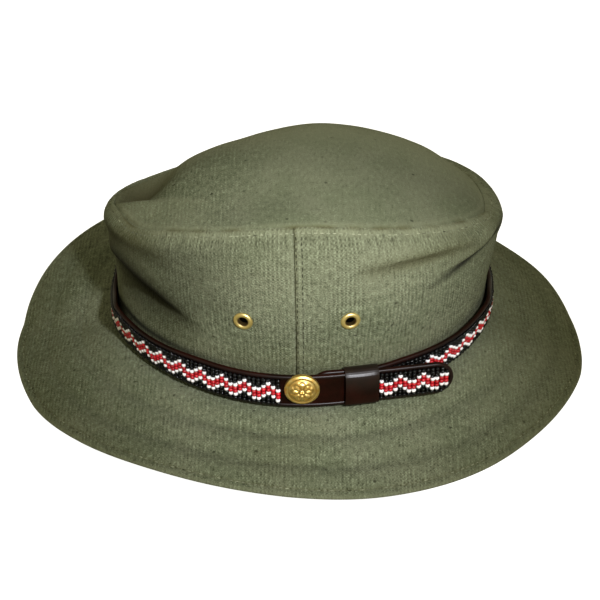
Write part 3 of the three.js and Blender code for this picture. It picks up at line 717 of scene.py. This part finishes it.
# the top, its edge turned down inside the wall
topCloth = Settings(
    columns=300, rows=78, crowd=0.92, turnedIn=0.07, allowance=6.0, flatMiddle=0.04,
    waves=((0.8, 34, 6.3), (0.36, 15, 2.2)), calm=(1, 12), pucker=(0.2, 3.8, 9.5), puckerFade=7,
    roll=(0.4, 1.3, 0), tuck=0.6, tuckEdges=(0, 1.4), gap=0.55,
    # painted light on the ledge before the first hollow and towards the far edge; the seam wear is real
    seamWear=(0.5, 1.6, 1.2), crest=0.45, crestRise=1.6, crestFront=(30, 60), farWear=(1.1, -12, 26),
    # painted shade in the pocket of the first hollow and over the back half of the top on its near side; the
    # seam soil is dirt
    seamSoil=(0.8, 0, 1.0), pocketX=(-80, 14), pocketY=(8, 24), pocketDark=0.25,
    backDark=(0.14, 5, 50), nearDark=(-15, 25), rib=0.2, frontRib=(0.5, 5, 40),
)


def topSurface(u, v):
    azimuth = around(u)
    edge = topCloth.turnedIn
    reach = (1 - clamp((v - edge) / (1 - edge))) ** topCloth.crowd
    points = topPoint(azimuth, reach)
    normals = facing(lambda azimuth, inward: topPoint(azimuth, 1 - inward), azimuth, 1 - reach)
    normals = np.where((reach < topCloth.flatMiddle)[:, None], upward, normals)
    apart = fromOval(crown.seam, azimuth, points)
    move = smooth(apart, *topCloth.calm) * waves(points, *topCloth.waves) - ramp(apart, *topCloth.roll)
    move += waves(points, topCloth.pucker) * np.exp(-apart / topCloth.puckerFade)
    points = points + normals * move[:, None]
    below = clamp(1 - v / edge) * topCloth.allowance
    rise = 1 - below / wallLength(azimuth)
    behind = ramp(below, crown.cloth + topCloth.tuck, *topCloth.tuckEdges) + topCloth.gap
    inside = wallPoint(azimuth, rise) - facing(wallPoint, azimuth, rise) * behind[:, None]
    return np.where((v < edge)[:, None], inside, points)


def topMarks(u, v, points):
    look = topCloth
    x, y = points[:, 0], points[:, 1]
    apart = fromOval(crown.seam, around(u), points)
    begun = beyondRidge(points)
    # a painted highlight on the ledge before the first hollow
    crest = (1 - begun) * (look.crest + look.crestRise * begun) * smooth(-x, *look.crestFront)
    # painted shade in the pocket of the first hollow
    sunk = begun * bell(x, *look.pocketX) * bell(y, *look.pocketY)
    return {
        # real wear along the seam, and painted light on the ledge and towards the far edge
        "wear": streak(apart, *look.seamWear) + crest + ramp(y, *look.farWear),
        # dirt along the seam, and painted shade in the pocket
        "soil": stain(points) * streak(apart, *look.seamSoil) + sunk,
        # painted shade in the pocket and over the back half of the top on its near side
        "dark": look.pocketDark * sunk + ramp(x, *look.backDark) * smooth(-y, *look.nearDark),
        "rib": look.rib + ramp(-x, *look.frontRib),
    }


def flatAsSeen(u, v, points):
    return points[:, :2]


topPiece = layGrid("crownTopCloth", topCloth.columns, topCloth.rows, topSurface, topMarks, flatAsSeen)
close(topPiece, outward=False)
finishWith(topPiece, "SOLIDIFY", thickness=crown.cloth * mm)
dress(topPiece, canvas, "canvas", "crown_top", angle=48)
print("crown top sewn")

# the brim: two plies, puffed between its pressed rows, with a rounded stitched edge
brim = Settings(
    cloth=2.2, sewn=1.6, gap=0.3, sag=1.25,
    edge=Settings(halfLength=151.8, halfWidth=136.5, leftPower=1.85, rightPower=2.1, shift=0, turn=-3),
    edgeHeights=[(-180, -4), (-165, -4), (-150, 0.5), (-135, 8), (-118, 15), (-103, 16.6), (-88, 14.8),
                 (-70, 9), (-50, 4.5), (-32, 5), (-16, 3.5), (0, -4), (12, -1), (26, 3.5), (44, 5), (66, 11),
                 (90, 15), (120, 19), (144, 17), (160, 12.5), (171, 5.5)],
    rings=(0.0, 0.39, 0.70, 0.945), puff=1.5, puffPeak=5.6, puffLean=1.6, edgeStitch=3.5,
    ditch=(0.25, 0, 0.8), cord=(0.3, 1.9, 1.0), wave=(0.5, 24, 4.4), calmSewn=(0.06, 0.3), calmEdge=(1, 8),
    underPuff=0.7, floorNear=4,  # the lower ply lies flat where it nears the floor
    columns=420, topRows=66, edgeRows=8, underRows=40,
    edgeWear=(0.6, 1.8, 0.4), backWear=(0.3, 0.6, 0.9), stitchSoil=(0.35, 0, 0.5), patchSoil=0.3,
    # the ring and near-side numbers paint shade just past each pressed row, deeper on the near side; the
    # patches are dirt
    patches=(1, 46, 7.7), ringPast=0.045, ringWidth=0.055, ringDark=0.08, nearSide=-85,
    nearDark=(0.15, 0, 50), rib=0.8,
)
brimRows = brim.topRows + brim.edgeRows + brim.underRows
edgeHeight = curveAround(brim.edgeHeights)


def brimEnds(azimuth):
    inner = ovalPoint(crown.base, azimuth) - ovalOutward(crown.base, azimuth) * brim.sewn
    return inner, ovalPoint(brim.edge, azimuth)


def brimWidth(azimuth):
    inner, outer = brimEnds(azimuth)
    return np.linalg.norm(outer - inner, axis=-1)


def brimUnder(azimuth, reach):
    inner, outer = brimEnds(azimuth)
    plan = inner + (outer - inner) * reach[:, None]
    start = baseHeight(azimuth) - brim.cloth - brim.gap
    height = start + (edgeHeight(azimuth) - start) * reach ** brim.sag
    return np.column_stack([plan, np.maximum(height, 0)])


def brimPuff(reach):
    puff = np.zeros_like(reach)
    for start, end in zip(brim.rings, brim.rings[1:]):
        t = clamp((reach - start) / (end - start))
        puff += brim.puffPeak * t ** brim.puffLean * (1 - t) * brim.puff
    return puff


# rows of the grid run out over the top, round the edge and back below
def brimSurface(azimuth, row):
    top, rim, half = brim.topRows, brim.edgeRows, brim.cloth / 2
    width = brimWidth(azimuth)
    back = clamp((row - top - rim) / brim.underRows)
    reach = np.where(row <= top, clamp(row / top), 1 - back) * (1 - half / width)
    points = brimUnder(azimuth, reach)
    fromEdge = (1 - reach) * width
    ripple = brimPuff(reach) - streak(fromEdge - brim.edgeStitch, *brim.ditch) + streak(fromEdge, *brim.cord)
    ripple += waves(points, brim.wave) * smooth(reach, *brim.calmSewn) * smooth(fromEdge, *brim.calmEdge)
    low = points[:, 2]
    upper = low + brim.cloth + ripple
    lower = np.maximum(low + ripple * np.minimum(1, low / brim.floorNear) * brim.underPuff, 0)
    turning = (row > top) & (row < top + rim)
    bend = clamp((row - top) / rim) * math.pi
    height = np.where(turning, low + half + half * np.cos(bend), np.where(row <= top, upper, lower))
    past = np.where(turning, half * np.sin(bend), 0)[:, None] * ovalOutward(brim.edge, azimuth)
    return np.column_stack([points[:, :2] + past, height])


def brimMarks(azimuth, row, points):
    apart = fromOval(brim.edge, azimuth, points)
    reach = clamp(row / brim.topRows)
    # painted shade just past each pressed row, deeper on the near side
    rings = sum(bell(reach, ring + brim.ringPast, brim.ringWidth) for ring in brim.rings[1:3])
    nearSideShade = streak(turned(azimuth - brim.nearSide), *brim.nearDark)
    patch = brim.patchSoil * clamp(waves(points, brim.patches))
    return {
        "wear": ramp(apart, *brim.edgeWear) + ramp(np.cos(np.radians(azimuth)), *brim.backWear),
        "soil": streak(apart - brim.edgeStitch, *brim.stitchSoil) + patch,
        "dark": rings * (brim.ringDark + nearSideShade),
        "rib": brim.rib,
    }


brimPiece = layGrid("brimCloth", brim.columns, brimRows, brimSurface, brimMarks, flatAsSeen,
                    lambda u, v: (around(1 - u), v * brimRows))
close(brimPiece, bpy.ops.mesh.bridge_edge_loops)
dress(brimPiece, canvas, "canvas", "brim", angle=60)
print("brim sewn")

# the band: one leather strip that laps over itself, raised welts along both edges
strap = Settings(
    half=9.4, thick=1.1, welt=1.05, face=0.3, lift=2.5, tab=53.8,
    route=[(-86, 2.1), (-80, 2.1), (-68, 3.1), (-60, 2.3), (-44, 0.9), (-15, 0.6), (90, 0.6), (190, 0.8),
           (222, 0.8), (258, 4.8), (282, 4.8)],  # azimuth, distance from the canvas
    lean=9, leanFrom=(0.45, 0.8), leanTo=(0.93, 1),  # degrees, top out, between the sides and the ends
    steps=460, tabSteps=24, roundSteps=14, cornerSteps=4, corner=0.25,
    proud=(0.5, 1.0), worn=0.85, wearing=(0.5, 9, 1.1), gloss=0.3,
)
strapSteps = strap.steps + strap.tabSteps + strap.roundSteps
strapStart, strapEnd = strap.route[0][0], strap.route[-1][0]
strapClear = curveThrough(strap.route)


def strapPoint(azimuth):
    out = ovalOutward(crown.base, azimuth)
    return ovalPoint(crown.base, azimuth) + out * (strapClear(azimuth) + strap.thick)[..., None], out


def strapFloor(azimuth):
    return baseHeight(azimuth) + strap.lift


def strapLean(azimuth):
    end = np.abs(np.cos(np.radians(azimuth)))
    share = smooth(end, *strap.leanFrom) * (1 - smooth(end, *strap.leanTo))
    return math.tan(math.radians(strap.lean)) * share


tabStart, tabOut = strapPoint(strapEnd)
tabAlong = np.array([-tabOut[1], tabOut[0]])
tabFloor = float(strapFloor(strapEnd))
tabMiddle = tabFloor + strap.half


def arc(middle, radii, degrees):
    angles = np.radians(degrees)
    return list(zip(middle[0] + radii[0] * np.cos(angles), middle[1] + radii[1] * np.sin(angles)))


def strapSection():
    half, thick, welt, face = strap.half, strap.thick, strap.welt, strap.face
    upper = [(-thick, up) for up in (0, half / 2, half - 0.6)]
    upper += [(0.2 - thick, half - 0.2), (0.6 - thick, half)]
    upper += arc((thick + 0.1 - welt, half - welt), (welt, welt), range(90, -81, -17))
    upper += [(face, half - 2.5 * welt), (face, 3.4), (face, 0)]
    lower = [(out, -up) for out, up in reversed(upper)]
    return np.array(upper + lower[1:])


section = strapSection()


def strapSpot(u, v):
    return np.rint(u * strapSteps), *onOutline(section, v)


def strapSurface(station, out, up):
    up = up * (1 - strap.corner * (1 - clamp(station / strap.cornerSteps)) ** 2)
    azimuth = strapStart + (strapEnd - strapStart) * clamp(station / strap.steps)
    loop, facingOut = strapPoint(azimuth)
    past = station - strap.steps
    bend = clamp((past - strap.tabSteps) / strap.roundSteps) * math.pi / 2
    along = clamp(past / strap.tabSteps) * (strap.tab - strap.half) + np.abs(up) * np.sin(bend)
    out = out + (up + strap.half) * strapLean(azimuth)
    plan = loop + tabAlong * along[:, None] + facingOut * out[:, None]
    return np.column_stack([plan, strapFloor(azimuth) + strap.half + up * np.cos(bend)])


def strapMarks(station, out, up, points):
    welted = smooth(out, *strap.proud)
    return {"wear": welted * clamp(strap.worn + waves(points, strap.wearing)), "gloss": strap.gloss * welted}


strapPiece = layGrid("bandLeather", strapSteps, len(section) - 1, strapSurface, strapMarks, spot=strapSpot)
close(strapPiece, bpy.ops.mesh.edge_face_add)
dress(strapPiece, leather, "leather", "band_strap", angle=62)
print("strap laid round the crown")

# the keeper: a leather loop round both layers, tube first and then its thickness
keeper = Settings(
    width=16.6, back=-4.4, front=1.4, high=9.75, leather=1.0, along=7.8, corner=3.5,
    bow=1.8, bowEnds=0.3, cornerSteps=5, cuts=5, edge=0.28, edgeSteps=2, edgeAngle=50,
    worn=0.8, plain=0.12, wornNear=1.2, gloss=0.1, shine=(0.55, 7, 17),
)


def keeperPiece():
    width, middle = keeper.width * mm, (keeper.front + keeper.back) / 2
    deep = (keeper.front - keeper.back + 2 * keeper.leather) * mm
    tall = 2 * (keeper.high + keeper.leather) * mm
    piece = added(bpy.ops.mesh.primitive_cube_add, (width, deep, tall), size=1)
    piece.name = piece.data.name = "keeperLoop"
    deleteFaces(piece, [abs(face.normal.x) > 0.9 for face in piece.data.polygons])
    ends = [[piece.data.vertices[i].co.x for i in edge.vertices] for edge in piece.data.edges]
    choose(piece, "EDGE", [abs(first - last) > width / 2 for first, last in ends])
    with editing(piece, "EDGE"):
        bpy.ops.mesh.bevel(offset=keeper.corner * mm, segments=keeper.cornerSteps, affect="EDGES")
        bpy.ops.mesh.select_all(action="SELECT")
        bpy.ops.mesh.subdivide(number_cuts=keeper.cuts)
    for point in piece.data.vertices:  # the front is pushed out a little by what it holds
        across, up = 2 * point.co.x / width, 2 * point.co.z / tall
        if point.co.y < 0:
            point.co.y -= keeper.bow * mm * (1 - keeper.bowEnds * across ** 2) * (1 - up ** 2)
    finishWith(piece, "SOLIDIFY", thickness=keeper.leather * mm)
    finishWith(piece, "BEVEL", width=keeper.edge * mm, segments=keeper.edgeSteps, limit_method="ANGLE",
               angle_limit=math.radians(keeper.edgeAngle))
    place = tabStart + tabAlong * keeper.along + tabOut * middle
    turn = Matrix(((tabAlong[0], -tabOut[0], 0, place[0] * mm), (tabAlong[1], -tabOut[1], 0, place[1] * mm),
                   (0, 0, 1, tabMiddle * mm), (0, 0, 0, 1)))
    piece.data.transform(turn)
    heights = np.array([point.co.z / mm for point in piece.data.vertices])
    atEdge = np.abs(np.abs(heights - tabMiddle) - tall / mm / 2) < keeper.wornNear
    setMark(piece, "wear", np.where(atEdge, keeper.worn, keeper.plain))
    setMark(piece, "gloss", keeper.gloss + ramp(heights - tabFloor, *keeper.shine))
    dress(piece, leather, "leather", "band_keeper", angle=40)


keeperPiece()
print("keeper made")

# the stud: a domed head with a plain rim and a small rosette
stud = Settings(
    azimuth=270, above=2.2, radius=8.5, dome=3.0, fall=0.62, foot=-0.7, relief=0.6,
    petals=8, petal=((0.16, 0.3), (0.62, 0.5)), leaf=((0.42, 0.55), (0.72, 0.64)), leafHeight=0.8,
    boss=(0.17, 0.07), rim=(0.28, 0.9, 0.05), groove=(0.2, 0.79, 0.035),  # shares of the radius
    skirt=0.1, brow=0.16,  # rows of the back and of the side
    soil=(0.5, 0.05, 0.5), soilEdge=(0.74, 0.6), grooveSoil=(0.45, 0.79, 0.04),
    columns=128, rows=64,
)


def studRelief(r, angle):
    turn = stud.petals / 2 * angle
    petal = np.abs(np.cos(turn)) ** 0.8 * smooth(r, *stud.petal[0]) * smooth(r, *stud.petal[1])
    leaf = np.abs(np.sin(turn)) ** 3 * smooth(r, *stud.leaf[0]) * smooth(r, *stud.leaf[1])
    boss = smooth(r, *stud.boss) * (0.8 + 0.2 * np.cos(6 * angle))
    return np.maximum(np.maximum(petal, stud.leafHeight * leaf), boss)


def studReach(v):  # share of the radius: out over the back, then in over the dome
    brow = stud.brow
    return np.where(v < brow, clamp(v / stud.skirt), 1 - clamp((v - brow) / (1 - brow)))


def studPoints(u, v):
    angle, r = u * fullTurn, studReach(v)
    height = stud.dome * (1 - stud.fall * r ** 2.2) + streak(r, *stud.rim) - streak(r, *stud.groove)
    height += stud.relief * studRelief(r, angle)
    height = stud.foot + (height - stud.foot) * smooth(v, stud.skirt, stud.brow)
    point, out = strapPoint(stud.azimuth)
    x, y = point + out * strap.thick
    across, up = stud.radius * r * np.cos(angle), stud.radius * r * np.sin(angle)
    return np.column_stack([x + across, y - height, tabMiddle + stud.above + up])


def studMarks(u, v, points):
    r = np.where(v < stud.brow, 1, studReach(v))
    clear = stud.soil[0] - ramp(studRelief(r, u * fullTurn), *stud.soil)
    return {"soil": clear * smooth(r, *stud.soilEdge) + streak(r, *stud.grooveSoil)}


studPiece = layGrid("studHead", stud.columns, stud.rows, studPoints, studMarks)
close(studPiece)
dress(studPiece, brass, "brass", "band_stud", angle=60)
print("stud struck")


# an eyelet: a tube rolled over on both faces of the cloth
def eyeletPiece(name, node, middle, out):
    inner = eyelets.inner
    wide = (eyelets.outer - inner) / 2
    back = eyelets.innerShare * wide
    profile = arc((inner + wide, eyelets.lipMiddle), (wide, eyelets.lip), range(180, -31, -15)) + eyelets.neck
    profile += arc((inner + back, eyelets.innerMiddle), (back, eyelets.innerLip), range(0, -181, -20))
    profile = np.array(profile + profile[:1])
    side = unit(np.cross(out, upward))
    up = np.cross(side, out)

    def spot(u, v):
        return u * fullTurn, *onOutline(profile, v)

    def place(angle, radius, proud):
        ring = np.cos(angle)[:, None] * side + np.sin(angle)[:, None] * up
        return middle + ring * radius[:, None] + out * proud[:, None]

    def marks(angle, radius, proud, points):
        # tarnish towards the foot, and painted shade inside the barrel
        tarnish = ramp(proud, *eyelets.footSoil) + ramp(radius - inner, *eyelets.holeSoil)
        return {"soil": tarnish, "pale": eyelets.pale}

    piece = layGrid(name, eyelets.columns, len(profile) - 1, place, marks, spot=spot)
    close(piece)
    dress(piece, brass, "brass", node, angle=50)


for node, (middle, out) in eyeletPlaces.items():
    words = node.split("_")
    eyeletPiece(words[0] + words[1].title() + words[2].title(), node, middle, out)
print("eyelets set")


# many copies of one small shape, joined as one piece
def copies(name, shape, origins, axes, tones):
    mesh = shape.data
    points = np.empty(len(mesh.vertices) * 3)
    mesh.vertices.foreach_get("co", points)
    points = points.reshape(-1, 3)
    laid = np.einsum("pk,nkc->npc", points, axes) + (origins * mm)[:, None, :]
    starts = range(0, len(laid) * len(points), len(points))
    faces = [[start + i for i in face.vertices] for start in starts for face in mesh.polygons]
    joined = bpy.data.meshes.new(name)
    joined.from_pydata(laid.reshape(-1, 3).tolist(), [], faces)
    piece = bpy.data.objects.new(name, joined)
    scene.collection.objects.link(piece)
    setMark(piece, "tone", np.repeat(tones, len(points)))
    joined.polygons.foreach_set("use_smooth", np.ones(len(joined.polygons), bool))
    joined.update()
    bpy.data.objects.remove(shape)
    return piece


def lengthsAlong(points):
    return np.concatenate([[0], np.cumsum(np.linalg.norm(np.diff(points, axis=0), axis=1))])


# seed beads, sewn in upright columns of eight on the band and on its tab
beads = Settings(
    pitch=2.385, tabPitch=2.31, row=1.94, rows=8,
    loopFrom=-66, chartFrom=-57, loopTo=264.2, tabFrom=17, tabTo=51.1, tabMargin=1.4,
    stand=1.15, ring=0.63, tube=0.54, tall=1.66, roundSteps=8, tubeSteps=6,
    astray=0.07, uneven=0.045, tone=(0.5, 0.25), seed=7,
    chart=("BWRRWBBB", "BBWRRWBB", "BBBWRRWB"), hidden="BBB",  # colours from the top, and behind the tab
    steps=(0, 1, 2, 2, 1), loopStep=2, tabEnd=1,  # columns of the zigzag
)


def beadColumns():
    def laid(azimuths):
        path, out = strapPoint(azimuths)
        return path + out * proud, out

    proud = strap.face + beads.stand
    zigzag = [beads.chart[step] for step in beads.steps]
    fine = np.linspace(beads.loopFrom, beads.loopTo, 6000)
    lengths = lengthsAlong(laid(fine)[0])
    spots = np.arange(lengths[-1] - beads.pitch / 2, 0, -beads.pitch)  # counted from the end by the stud
    azimuths = np.interp(spots, lengths, fine)
    path, out = laid(azimuths)
    leans = out * strapLean(azimuths)[:, None]
    for i, (plan, floor, lean) in enumerate(zip(path, strapFloor(azimuths), leans)):
        shown = azimuths[i] > beads.chartFrom
        letters = zigzag[(i - beads.loopStep) % len(zigzag)] if shown else beads.hidden
        yield plan, floor, lean, letters, math.inf
    spots = np.arange(beads.tabTo - beads.tabPitch / 2, beads.tabFrom, -beads.tabPitch)
    for i, spot in enumerate(spots):
        past = max(spot - (strap.tab - strap.half), 0)
        room = math.sqrt(max((strap.half - beads.tabMargin) ** 2 - past ** 2, 0))
        letters = zigzag[i % len(zigzag)] if i else beads.chart[beads.tabEnd]
        yield tabStart + tabAlong * spot + tabOut * proud, tabFloor, np.zeros(2), letters, room


def sewBeads():
    chance = np.random.default_rng(beads.seed)
    spots = {"B": [], "W": [], "R": []}
    for plan, floor, lean, letters, room in beadColumns():
        for row, letter in enumerate(letters):
            up = (beads.rows / 2 - 0.5 - row) * beads.row
            if abs(up) + 0.5 <= room:
                level = strap.half + up
                place = np.array([*(plan + lean * level), floor + level])
                spots[letter].append(place + chance.normal(0, beads.astray, 3))
    flat = ("beadwork_loop", "beadwork_tab")
    for letter, name, nodes in (("B", "black", flat), ("W", "white", ()), ("R", "red", ())):
        shape = added(bpy.ops.mesh.primitive_torus_add, (1, 1, beads.tall),
                      major_radius=beads.ring * mm, major_segments=beads.roundSteps,
                      minor_radius=beads.tube * mm, minor_segments=beads.tubeSteps)
        origins = np.array(spots[letter])
        axes = np.eye(3)[None] * chance.normal(1, beads.uneven, len(origins))[:, None, None]
        tones = chance.normal(*beads.tone, len(origins))
        piece = copies(name + "SeedBeads", shape, origins, axes, tones)
        dress(piece, beadMaterial(name), "beads_" + name, *nodes)
        print(len(origins), name, "beads sewn on")


sewBeads()

# stitches: short rounded bars along the seams
stitch = Settings(
    length=2.0, gap=1.0, wide=0.55, flat=0.8, proud=0.05, aim=0.8, seed=3, uneven=0.22,
    topTone=0.75, sideTone=0.0, edgeTone=0.45, rubbed=(0.3, 40, 60), rubbedAt=15,  # pale in the middle
    sideRows=(0.5, crown.sideStitch), sideEnds=(0.02, 0.975),
)


def stitchRow(points, outs, tone):
    lengths = lengthsAlong(points)
    count = int(lengths[-1] / (stitch.length + stitch.gap))
    spots = (np.arange(count) + 0.5) * lengths[-1] / count

    def along(values, by=0):
        return np.stack([np.interp(spots + by, lengths, values[:, k]) for k in range(3)], -1)

    ahead = unit(along(points, stitch.aim) - along(points, -stitch.aim))
    out = unit(along(outs))
    across = unit(np.cross(out, ahead))
    axes = np.stack([ahead, across, np.cross(ahead, across)], 1)
    return along(points) + out * stitch.proud, axes, np.full(count, tone)


def seamRows():
    azimuth = np.linspace(-180, 180, 1500)
    rise = 1 - crown.topStitch / wallLength(azimuth)
    back = (azimuth > crown.seamLeft) & (azimuth < crown.seamRight)
    seam = np.where(back[:, None], wallSurface(azimuth, rise, False), wallSurface(azimuth, rise, True))
    yield seam, facing(wallPoint, azimuth, rise), stitch.topTone
    rise = np.linspace(*stitch.sideEnds, 300)
    for start, way in ((crown.seamLeft, 1), (crown.seamRight, -1)):
        for across in stitch.sideRows:
            turn = np.full_like(rise, start + way * across / crown.degree)
            yield wallSurface(turn, rise, False), facing(wallPoint, turn, rise), stitch.sideTone
    width = brimWidth(azimuth)
    row = (width - brim.edgeStitch) / (width - brim.cloth / 2) * brim.topRows
    rim = brimSurface(azimuth, row)
    yield rim, np.tile(upward, (len(rim), 1)), stitch.edgeTone


def sewStitches():
    rows = [stitchRow(*row) for row in seamRows()]
    origins, axes, tones = map(np.concatenate, zip(*rows))
    top = rows[0][0]
    tones[:len(top)] -= ramp(np.abs(top[:, 0] - stitch.rubbedAt), *stitch.rubbed)
    scale = (stitch.wide * stitch.flat * mm, stitch.wide * mm, stitch.length * mm)
    shape = added(bpy.ops.mesh.primitive_uv_sphere_add, scale, segments=6, ring_count=4, radius=0.5,
                  rotation=(0, math.pi / 2, 0))
    tones += np.random.default_rng(stitch.seed).normal(0, stitch.uneven, len(origins))
    piece = copies("stitches", shape, origins, axes, tones)
    dress(piece, thread, "thread")
    print(len(origins), "stitches sewn")


sewStitches()

# studio: pale floor that glows a little, one soft lamp by the camera, warm dim surroundings
studio = Settings(
    camera=(0.0007, -0.7281, 0.5603), tilt=54, lens=102.06, sensor=36, floor=8,
    lampPlace=(0.237, -0.815, 0.796), lampAim=(0.012, -0.088, 0.088),
    lamp=dict(energy=68.0, color=(0.99, 1.0, 1.06), shadow_soft_size=0.05, spot_size=math.radians(14.5),
              spot_blend=1.0),
    world=(1.0, 0.94, 0.64, 1.0), glow=0.36,
)


def buildStudio():
    floor = added(bpy.ops.mesh.primitive_plane_add, size=studio.floor, location=(0, 0, 0))
    floor.name = "floor"
    floor.data.materials.append(floorMaterial(floorLook))
    floor.visible_diffuse = floor.visible_glossy = False  # it stays white without lighting the hat
    light = added(bpy.ops.object.light_add, type="SPOT", location=studio.lampPlace)
    light.name = "frontLamp"
    setAll(light.data, studio.lamp)
    aim = Vector(studio.lampAim) - Vector(studio.lampPlace)
    light.rotation_euler = aim.to_track_quat("-Z", "Y").to_euler()
    world = bpy.data.worlds.new("surroundings")
    world.use_nodes = True
    inputs = world.node_tree.nodes["Background"].inputs
    inputs["Color"].default_value = studio.world
    inputs["Strength"].default_value = studio.glow
    scene.world = world
    turn = (math.radians(studio.tilt), 0, 0)
    camera = added(bpy.ops.object.camera_add, location=studio.camera, rotation=turn)
    camera.data.lens = studio.lens
    camera.data.sensor_width = studio.sensor
    scene.camera = camera


buildStudio()
print("studio lit")
